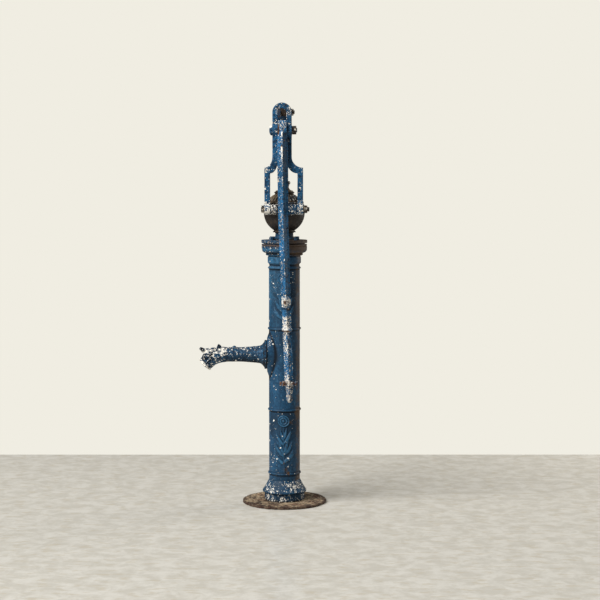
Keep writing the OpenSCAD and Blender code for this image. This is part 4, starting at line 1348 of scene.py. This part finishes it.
def lever_shape(x, y, z):
    u = x - bar_x(z)
    v = BAR_Y - y
    half = np.interp(z, (436, 740, KNEE_Z, HUB_Z - 74, HUB_Z - 42, HUB_Z - 14, HUB_Z + 40),
                     (15.2, 15.8, 17.5, 19.5, 19.4, 15.0, 13.8))
    depth = np.interp(z, (436, 740, KNEE_Z, HUB_Z - 40, HUB_Z - 18, HUB_Z + 2, HUB_Z + 24, HUB_Z + 34),
                      (20.0, 21.0, 23.0, 25.0, 20.0, 10.0, 8.0, 6.0))
    ends = np.maximum(GUARD_Z - z, z - HUB_Z - 33)
    plate = both(both(np.abs(u) - half, np.abs(v - 3) - 3, 1.0), ends, 3)
    slope = (depth - 5) / (half - 2.5)
    roof = (v - depth + np.abs(u) * slope) / np.sqrt(1 + slope**2)
    roof = both(both(roof, np.abs(v - 8) - 20, 2.0), both(np.abs(u) - half + 1.5, -v, 1), 1.0)
    out = join(plate, both(roof, ends, 2), 0.8)
    throat = [(BAR_Y - 8, HUB_Z - 46), (BAR_Y, HUB_Z - 46), (BAR_Y + 6, HUB_Z - 24), (HUB_Y, HUB_Z - 20)]
    throat += [(HUB_Y, HUB_Z + 20), (BAR_Y, HUB_Z + 32), (BAR_Y - 8, HUB_Z + 31)]
    along, across = spin(y - HUB_Y, z - HUB_Z, ARM_TILT)
    hub = join(np.hypot(y - HUB_Y, z - HUB_Z) - 20, polygon(y, z, throat), 4)
    beam = np.maximum(between(along, 0, 58), np.abs(across) - 16)
    hub = both(join(hub, beam, 4), np.abs(x - HUB_X) - 14, 2.0)
    out = join(out, hub, 3)
    cheeks = np.maximum(between(along, 42, ARM_LENGTH), np.abs(across) - 16)
    eye = join(cheeks, np.hypot(along - ARM_LENGTH, across) - 17, 2)
    clevis = both(eye, np.abs(x) - 24, 2.0)
    slot = np.maximum(np.abs(x) - 12.6, 58 - along)
    out = join(out, cut(clevis, slot, 0.8), 2.0)
    out = cut(out, np.hypot(y, z - PIN_Z) - 7.0, 0.3)
    out = cut(out, both(np.hypot(y - HUB_Y, z - HUB_Z) - 8.1, np.abs(x - HUB_X) - 30), 0.3)
    axis = BAR_Y - 10
    ku, kv = x - bar_x(KNOB_Z), y - axis
    knob = np.sqrt((ku / 14.5) ** 2 + (kv / 17.5) ** 2 + ((z - KNOB_Z) / 21) ** 2) * 14.5 - 14.5
    out = join(out, knob, 2.0)
    cu = x - bar_x(COLLAR_Z)
    collar = np.sqrt((cu / 18.5) ** 2 + (kv / 17) ** 2 + ((z - COLLAR_Z) / 9) ** 2) * 9 - 9
    out = join(out, collar, 3.0)
    gu = x - bar_x(GUARD_Z)
    oval = np.hypot(gu / 30, kv / 15) * 15 - 15
    lumps = np.sin(0.55 * x + 0.4) + np.sin(0.9 * y + 0.35 * x) + np.sin(1.1 * z + 0.3 * x)
    guard = both(oval + 0.9 * lumps, np.abs(z - GUARD_Z) - 6.2 + 1.1 * lumps, 2.0)
    out = join(out, guard, 2.0)
    pu = x - bar_x(LEVER_TIP + 20)
    steps = [LEVER_TIP + h for h in (-1, 3, 12, 20, 34, 44, 58, 68)]
    pr = np.interp(z, steps, (0, 6, 10.5, 11.5, 9.8, 11.5, 15.5, 15.5))
    pommel = both(np.hypot(pu, kv) - pr, np.maximum(LEVER_TIP - z, z - GUARD_Z + 2), 2.0)
    return join(out, pommel, 2.0)


def lever_wear(p):
    x, y, z = p.T
    u = x - bar_x(z)
    v = BAR_Y - y
    ridge = bump(u, 0, 5) * smooth_step(v, 8, 18)
    upper = smooth_step(z, 1225, 1260)
    left = smooth_step(-u, -3, 3)
    low = 1 - smooth_step(z, 620, 665)
    grip = smooth_step(z, 446, 476) * low
    patches = smooth_step(lattice_noise(p, 24, 101), 0.4, 0.62)
    flat = smooth_step(z, HUB_Z - 14, HUB_Z + 2)
    high = smooth_step(z, 1205, 1225) * (1 - flat)
    chip = 0.34 + 0.09 * left + 0.16 * ridge * (1 - upper) * patches
    chip = chip + 0.46 * high * bump(u, -2.5, 6.5) * (0.3 + 0.7 * patches)
    chip = chip + 0.12 * bump(z, 1352, 20) * (y < -90)
    chip = chip + grip * smooth_step(-u, -12, -5) * (0.08 + 0.12 * patches)
    knob = bump(z, KNOB_Z, 27) * (np.abs(v - 10) < 22)
    band = smooth_step(z, COLLAR_Z - 12, COLLAR_Z - 4) * (1 - smooth_step(z, COLLAR_Z + 36, COLLAR_Z + 60))
    chip = chip + 0.5 * knob + 0.26 * band
    end = 1 - smooth_step(z, GUARD_Z + 8, GUARD_Z + 14)
    chip = chip + 0.26 * end + 0.2 * bump(z, GUARD_Z + 18, 30) * left + 0.2 * bump(z, GUARD_Z, 11)
    hub = smooth_step(z, HUB_Z - 24, HUB_Z - 8)
    chip = chip + 0.12 * hub * patches
    # The back of the lever, away from the camera and the light, gets a brown film and darkening as painted shade.
    rear = smooth_step(y, -70, -40)
    ragged = smooth_step(np.abs(u), 6, 11) * (0.6 + 0.4 * smooth_step(lattice_noise(p, 9, 105), 0.4, 0.6))
    rust = 0.02 + 0.16 * band + 0.2 * ragged * bump(z, GUARD_Z, 10) + 0.24 * end
    rust = rust + 0.2 * bump(z, COLLAR_Z - 5, 7)
    rust = rust + 0.34 * bump(z, 1280, 14) * high * left
    rust = rust + 0.3 * knob * smooth_step(v, 16, 24) + 0.4 * rear
    # Brown film on the right facet above the knob: painted shade of the side away from the light.
    rust = rust + 0.32 * (1 - left) * (1 - flat) * smooth_step(z, 740, 780)
    cheek = bump(z, HUB_Z + 2, 30) * smooth_step(HUB_X - x, 9, 10.5) * (v > -4)
    rust = rust + 0.9 * cheek
    chip = chip + 0.9 * cheek
    # Painted shade in the creases under and over the knob, under the collar and under the guard, on the back, and
    # on the right facet.
    grime = 0.9 * bump(z, KNOB_Z - 25, 8) * (v > 0) + 0.5 * bump(z, KNOB_Z + 25, 7)
    grime = grime + 0.6 * bump(z, COLLAR_Z - 15, 7) + 0.5 * bump(z, GUARD_Z - 9, 5) + 0.8 * rear
    grime = grime + (1 - left) * (1 - flat) * (0.14 + 0.4 * high + 0.4 * end)
    return {"chip": chip, "rust": rust, "grime": grime}


def build_lever():
    low, high = node_box("lever")
    piece = sculpt("cast_lever", lever_shape, low, high, lever_wear, 0.4, 100, max(VOXEL, 1.3))
    finish_piece(piece, "lever", "lever_iron", LEVER_PAINT, "lever")


# ---- Rod pin and crosshead ----


def build_rod_pin():
    low, high = node_box("rod_pin")

    def shape(x, y, z):
        r = np.hypot(y, z - PIN_Z)
        shank = both(r - np.where(x > 23, thread(7.0, x), 7.0), between(x, -26, high[0]), 0.8)
        v, w = spin(y, z - PIN_Z, 0.35)
        head = bevelled_hex(v, w, x, 22, low[0], -24.0)
        nut = bevelled_hex(w, v, x, 22, 24.0, node_box("rod_pin_nut")[1][0])
        return join(join(shank, head, 0.5), nut, 0.5)

    piece = sculpt("rod_pin_bolt", shape, low - (0, 3, 3), high + (0, 3, 3), side_nut_wear, 0.2, 110,
                   NUT_VOXEL)
    finish_piece(piece, "lever", "bolt_iron", BOLT_IRON, "rod_pin", "rod_pin_nut")


def build_crosshead():
    low, high = node_box("crosshead")

    def shape(x, y, z):
        block = [(-14, -19), (34, -19), (38, -14), (38, 16), (34, 20), (-13, 20), (-18, 14), (-18, -14)]
        plate = polygon(y, z - PIN_Z, block)
        slot = rod_between(0, y, z, (0, 0, PIN_Z + 1.15), (0, 18.4, PIN_Z + 1.15), 9.15)
        out = both(cut(plate, slot), np.abs(x) - 12, 2.0)
        neck = both(np.hypot(x, y) - 12, np.abs(z - PIN_Z + 31) - 13, 1.5)
        return join(out, neck, 2.5)

    def wear(p):
        return {"chip": 0.4, "blue": 0.0, "rust": 0.6, "grime": 0.5}

    piece = sculpt("cast_crosshead", shape, low, high, wear, 0.35, 120, BOLT_VOXEL)
    finish_piece(piece, "rod", "bolt_iron", BOLT_IRON, "crosshead")


# ---- Finishes of the CAD nodes that stay ----

NODE_FINISHES = {
    "rod_lock_nut": BOLT_IRON, "piston_rod": ROD_STEEL, "base_screws": BOLT_IRON,
    "suction_flange": PIPE_IRON, "suction_pipe": PIPE_IRON, "barrel_foot": BRASS, "barrel": BRASS,
    "barrel_seal": LEATHER, "clack_pin": ROD_STEEL, "spout_washer": LEATHER, "cover_gasket": LEATHER,
    "urn_gasket": LEATHER, "gland_packing": HEMP, "piston_body": BRASS, "piston_cup": LEATHER,
    "piston_clamp": BRASS, "piston_nut": BOLT_IRON, "valve_stop": BOLT_IRON, "piston_valve": BRASS,
    "clack_leather": LEATHER, "clack_plate": BRASS, "clack_rivet": BRASS,
}


def dress_nodes():
    for node, material in NODE_FINISHES.items():
        slots = NODES[node].data.materials
        slots.clear()
        slots.append(material)


# ---- Floor, light and camera ----

CAMERA_PLACE = (0.056, -5.40, 1.14)
CAMERA_AIM = (0.056, 0.0, 0.731)
LENS = 90.6


def build_camera():
    data = bpy.data.cameras.new("camera")
    data.lens = LENS
    data.sensor_width = 36
    camera = bpy.data.objects.new("camera", data)
    camera.location = CAMERA_PLACE
    camera.rotation_euler = (Vector(CAMERA_AIM) - Vector(CAMERA_PLACE)).to_track_quat("-Z", "Y").to_euler()
    bpy.context.scene.collection.objects.link(camera)
    bpy.context.scene.camera = camera


def floor_material():
    """Pale vinyl, faintly clouded."""
    s = Shader("floor_vinyl")
    clouds = s.ramp(s.noise(16, 5, 0.66, distortion=0.4), 0.35, 0.65)
    colour = s.mix(clouds, srgb(212, 209, 200), srgb(229, 227, 220))
    streaks = s.ramp(s.noise(46, 5, 0.62, stretch=(0.4, 1.0, 1.0)), 0.52, 0.66, 0.0, 0.6)
    colour = s.mix(streaks, colour, srgb(206, 197, 178))
    return s.finish(colour, 0.26, specular=0.5)


def build_floor():
    half_width, front, back = 3.2, -3.2, 0.95
    corners = [(-half_width, front), (half_width, front), (half_width, back), (-half_width, back)]
    mesh = bpy.data.meshes.new("floor")
    mesh.from_pydata([(x, y, 0.0) for x, y in corners], [], [(0, 1, 2, 3)])
    floor = bpy.data.objects.new("floor", mesh)
    floor.data.materials.append(floor_material())
    bpy.context.scene.collection.objects.link(floor)


def area_light(name, place, aim, size, power, colour):
    data = bpy.data.lights.new(name, "AREA")
    data.shape = "RECTANGLE"
    data.size, data.size_y = size
    data.energy = power
    data.color = colour
    lamp = bpy.data.objects.new(name, data)
    lamp.location = place
    lamp.rotation_euler = (Vector(aim) - Vector(place)).to_track_quat("-Z", "Y").to_euler()
    bpy.context.scene.collection.objects.link(lamp)


def build_light():
    world = bpy.data.worlds.new("world")
    world.use_nodes = True
    tree = world.node_tree
    background = tree.nodes["Background"]
    background.inputs["Color"].default_value = srgb(240, 237, 226)
    path = tree.nodes.new("ShaderNodeLightPath")
    strength = tree.nodes.new("ShaderNodeMapRange")
    strength.inputs["To Min"].default_value = 0.15
    strength.inputs["To Max"].default_value = 1.0
    tree.links.new(path.outputs["Is Camera Ray"], strength.inputs["Value"])
    tree.links.new(strength.outputs["Result"], background.inputs["Strength"])
    bpy.context.scene.world = world
    area_light("key", (-9.2, -6.4, 9.8), (0, 0, 0.8), (10.5, 10.5), 3200, (1.0, 0.98, 0.95))
    area_light("fill", (2.4, -4.2, 1.8), (0, 0, 0.7), (2.0, 2.0), 12, (0.95, 0.98, 1.0))
    area_light("rim", (2.8, 1.6, 1.6), (0, 0, 0.7), (1.4, 1.4), 40, (1.0, 0.94, 0.86))
    bpy.context.scene.view_settings.view_transform = "Standard"


# ---- The pump ----

build_camera()
build_light()
build_floor()
build_base()
build_foot()
build_shaft()
build_capital()
build_cover()
build_cover_bolts()
build_spout()
build_bowl()
build_dome()
build_gland()
build_fork_fixings()
build_fork()
build_fulcrum_bolt()
build_lever()
build_rod_pin()
build_crosshead()
dress_nodes()
